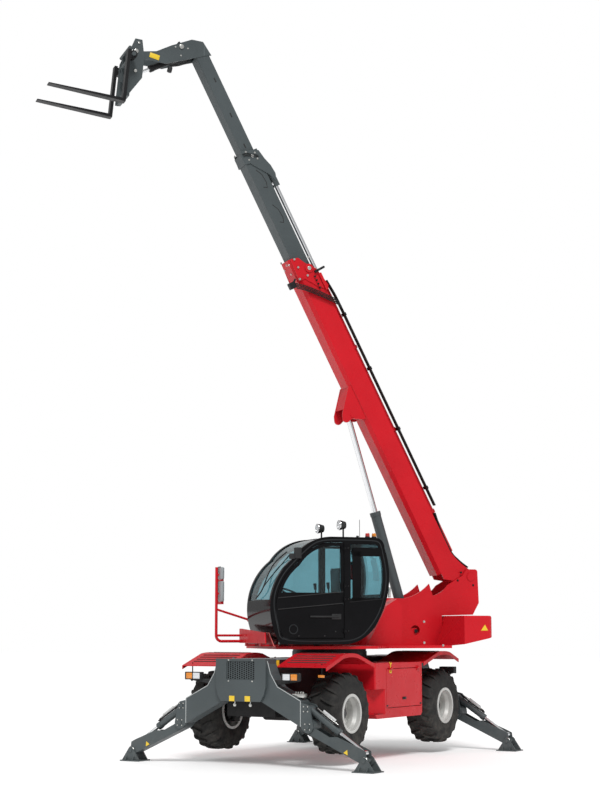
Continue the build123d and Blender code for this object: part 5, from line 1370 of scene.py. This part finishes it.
# ------------------------------------------------------------------ boom
class TELEHANDLER_OT_boom_trim(Operator):
    """Collar bolts and pads, hoses, pipes and painted lines of the boom stages"""

    bl_idname = "telehandler.boom_trim"
    bl_label = "Boom Trim"

    def execute(self, context):
        def keep(name, bm, body, material, slot="grey_steel"):
            return piece(name, bm, BOOM, body, MATERIALS[material])

        # first stage's collar
        bm = bmesh.new()
        for hand in (-1, 1):
            for y, z in ((-5.461, -0.385), (-5.328, -0.383), (-5.159, -0.440), (-5.40, -0.16),
                (-5.16, -0.30)):
                bolt(bm, (hand * 0.205, y, z), (hand, 0, 0), 0.014)
            rod(bm, (hand * 0.200, -5.25, -0.225), (hand * 0.216, -5.25, -0.225), 0.030, 20, 0.004)
        for x, y in ((-0.12, -5.50), (0.04, -5.43), (-0.11, -5.38), (0.05, -5.28), (0.12, -5.42)):
            bolt(bm, (x, y, -0.463), (0, 0, -1), 0.015)
        keep("first_collar_bolts", bm, "boom_outer", "zinc")
        bm = bmesh.new()
        for hand in (-1, 1):
            rod(bm, (hand * 0.200, -5.25, -0.225), (hand * 0.209, -5.25, -0.225), 0.066, 28, 0.003)
            block(bm, (hand * 0.214, -4.985, -0.105), (0.012, 0.27, 0.045), 0.004)
        keep("first_collar_pads", bm, "boom_outer", "red_enamel", "red_paint")
        bm = bmesh.new()
        rod(bm, (0.225, -5.168, -0.127), (0.225, -5.175, 0.0), 0.018, 16, 0.005)
        rod(bm, (0.19, -5.165, -0.15), (0.232, -5.165, -0.15), 0.024, 16, 0.004)
        for y in (-5.10, -5.04, -4.98, -4.92):
            rod(bm, (0.19, y, -0.200), (0.222, y, -0.200), 0.014, 12, 0.003)
        block(bm, (0.19, -5.118, -0.594), (0.10, 0.10, 0.10), 0.008)
        rod(bm, (0.19, -5.16, -0.54), (0.19, -5.19, -0.50), 0.014, 12, 0.002)
        keep("first_collar_fittings", bm, "boom_outer", "black_steel", "black_steel")
        hoses("collar_pipes", [
            [(0.218 + 0.004 * n, -5.136 + n * 0.026, -0.56), (0.222, -5.059 + n * 0.028, -0.436),
             (0.222, -4.88 + n * 0.03, -0.25), (0.222, -4.714 + n * 0.03, -0.095),
             (0.20, -4.626 + n * 0.03, -0.02),
             (0.15, -4.56 + n * 0.03, 0.008)]
            for n in range(4)
        ], 0.0085, BOOM, "boom_outer", MATERIALS["hose"])
        hoses("back_hoses", [
            [(x, -4.98, -0.020), (x, -4.85, -0.005), (x, -4.7, 0.010), (x, -4.2, 0.012), (x, -3.0, 0.012),
                (x, -1.2, 0.012)]
            for x in (0.085, 0.112, 0.139)
        ], 0.012, BOOM, "boom_outer", MATERIALS["hose"])
        bm = bmesh.new()
        for y in (-4.4, -3.5, -2.49, -1.5):
            block(bm, (0.095, y, 0.016), (0.12, 0.05, 0.034), 0.006)
        keep("hose_clamps", bm, "boom_outer", "black_steel", "black_steel")
        # second stage's collar, its cable and lines
        bm = bmesh.new()
        for hand in (-1, 1):
            for y, z in ((-7.215, -0.333), (-7.156, -0.202), (-7.058, -0.204), (-7.086, -0.337)):
                bolt(bm, (hand * 0.160, y, z), (hand, 0, 0), 0.012)
            rod(bm, (hand * 0.156, -7.122, -0.262), (hand * 0.170, -7.122, -0.262), 0.026, 20, 0.003)
        for x, y in ((-0.11, -7.25), (-0.03, -7.19), (0.08, -7.14), (-0.10, -7.12)):
            bolt(bm, (x, y, -0.405), (0, 0, -1), 0.012)
        keep("second_collar_bolts", bm, "boom_middle", "zinc")
        hoses("second_collar_cable", [
            [(0.168, -7.20, -0.402), (0.168, -7.20, -0.34), (0.168, -7.14, -0.25), (0.165, -7.10, -0.17),
                (0.13, -7.08, -0.128)],
            [(0.172, -7.17, -0.40), (0.172, -7.17, -0.35), (0.172, -7.11, -0.25), (0.168, -7.08, -0.175),
                (0.13, -7.065, -0.128)],
        ], 0.006, BOOM, "boom_middle", MATERIALS["hose"])
        # painted lines, no thicker than the gap the stage slides in
        bm = bmesh.new()
        for a in (-6.633, -6.06):
            hook = [(a, -0.310), (a + 0.03, -0.255), (a - 0.05, -0.232), (a - 0.18, -0.245),
                (a - 0.28, -0.300)]
            for (y0, z0), (y1, z1) in zip(hook, hook[1:]):
                strip_along(bm, (0.145, y0, z0), (0.145, y1, z1), 0.012, 0.0006, (1, 0, 0), 0)
        keep("stage_lines", bm, "boom_middle", "strip", "black_steel")
        bm = bmesh.new()
        strip_along(bm, (0.10, -6.90, -0.1525), (0.10, -2.0, -0.1525), 0.012, 0.0006, (0, 0, 1), 0)
        keep("second_back_line", bm, "boom_middle", "white")
        # third stage: black strips along the side, painted shade standing in for the dark inside of its
        # slots
        bm = bmesh.new()
        for hand in (-1, 1):
            for y, z in ((-7.31, -0.288), (-7.812, -0.275), (-8.383, -0.266)):
                strip_along(bm, (hand * 0.1235, y - 0.035, z), (hand * 0.1235, y + 0.035, z), 0.02, 0.003,
                    (1, 0, 0))
        keep("stage_slot_shade", bm, "boom_inner", "strip", "black_steel")
        # head: pins, plate tag, hoses, lamp
        bm = bmesh.new()
        for hand in (-1, 1):
            for y, z, radius in ((-9.17, -1.27, 0.034), (-9.02, -0.53, 0.036)):
                rod(bm, (hand * 0.128, y, z), (hand * 0.146, y, z), radius, 24, 0.004)
            for y, z in ((-8.96, -0.45), (-9.05, -0.62), (-8.90, -0.60)):
                bolt(bm, (hand * 0.131, y, z), (hand, 0, 0), 0.011)
        keep("head_pins", bm, "boom_inner", "zinc")
        bm = bmesh.new()
        block(bm, (0.133, -9.03, -0.99), (0.004, 0.075, 0.15), 0.001, Matrix.Rotation(radians(-40), 4, "X"))
        keep("head_tag", bm, "boom_inner", "yellow")
        hoses("head_hoses", [
            [(0.135, -8.80, -0.55), (0.142, -8.80, -0.65), (0.142, -8.81, -0.76), (0.135, -8.84, -0.84)],
            [(0.120, -8.77, -0.50), (0.138, -8.77, -0.64), (0.138, -8.78, -0.74), (0.128, -8.81, -0.82)],
        ], 0.011, BOOM, "boom_inner", MATERIALS["hose"])
        bm = bmesh.new()
        rod(bm, (0.115, -8.80, -0.83), (0.115, -8.74, -0.88), 0.036, 20, 0.006)
        block(bm, (0.0, -9.10, -0.49), (0.07, 0.05, 0.03), 0.006)
        keep("head_lamp", bm, "boom_inner", "plastic", "lamp_housing")
        # rear of the first stage: its chains, drawn as round lines
        hoses("rear_chains", [
            [(x, -1.10, -0.04), (x, -0.90, -0.075), (x, -0.64, -0.078), (x, -0.43, -0.078),
                (x, -0.31, -0.030),
             (x, -0.20, 0.020), (x, -0.13, 0.065)]
            for x in (0.05, 0.09, 0.13)
        ], 0.013, BOOM, "boom_outer", MATERIALS["hose"])
        return {"FINISHED"}


class TELEHANDLER_OT_carriage_trim(Operator):
    """Pin ends and fork latches of the carriage"""

    bl_idname = "telehandler.carriage_trim"
    bl_label = "Carriage Trim"

    def execute(self, context):
        keep = keeper(CARRIAGE, "fork_carriage", "grey_steel")
        bm = bmesh.new()
        for hand in (-1, 1):
            for y, z, radius in ((0.0, 0.0, 0.034), (0.03, 0.13, 0.018), (0.02, -0.30, 0.024)):
                rod(bm, (hand * 0.258, y, z), (hand * 0.272, y, z), radius, 24, 0.003)
        keep("carriage_pins", bm, "zinc")
        bm = bmesh.new()
        for x in (-0.30, 0.30):
            rod(bm, (x, -0.07, -0.07), (x, -0.07, -0.03), 0.014, 14, 0.003)
            rod(bm, (x - 0.03, -0.07, -0.03), (x + 0.03, -0.07, -0.03), 0.009, 12, 0.002)
        keep("fork_latches", bm, "zinc")
        return {"FINISHED"}


OPERATORS = (
    TELEHANDLER_OT_studio,
    TELEHANDLER_OT_finishes,
    TELEHANDLER_OT_tyres,
    TELEHANDLER_OT_rim_fittings,
    TELEHANDLER_OT_chassis_trim,
    TELEHANDLER_OT_leg_trim,
    TELEHANDLER_OT_cab_trim,
    TELEHANDLER_OT_seat,
    TELEHANDLER_OT_guard_trim,
    TELEHANDLER_OT_turret_trim,
    TELEHANDLER_OT_boom_trim,
    TELEHANDLER_OT_carriage_trim,
)
SETTINGS = (
    ("telehandler_finish", TelehandlerFinish),
    ("telehandler_tyre", TelehandlerTyre),
    ("telehandler_stage", TelehandlerStage),
)


class TELEHANDLER_PT_tools(Panel):
    """Lists the telehandler's pieces and settings"""

    bl_label = "Telehandler"
    bl_idname = "TELEHANDLER_PT_tools"
    bl_space_type = "VIEW_3D"
    bl_region_type = "UI"
    bl_category = "Telehandler"

    def draw(self, context):
        layout = self.layout
        for name, group in SETTINGS:
            box = layout.box()
            settings = getattr(context.scene, name)
            for key in group.__annotations__:
                box.prop(settings, key)
        for operator in OPERATORS:
            layout.operator(operator.bl_idname)


def register():
    for cls in [group for _, group in SETTINGS] + [*OPERATORS, TELEHANDLER_PT_tools]:
        bpy.utils.register_class(cls)
    for name, group in SETTINGS:
        setattr(bpy.types.Scene, name, PointerProperty(type=group))


def unregister():
    for name, _ in SETTINGS:
        delattr(bpy.types.Scene, name)
    for cls in reversed([group for _, group in SETTINGS] + [*OPERATORS, TELEHANDLER_PT_tools]):
        bpy.utils.unregister_class(cls)


def main():
    """Register the add-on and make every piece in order."""
    register()
    for operator in OPERATORS:
        group, action = operator.bl_idname.split(".")
        getattr(getattr(bpy.ops, group), action)()


if __name__ == "__main__":
    main()
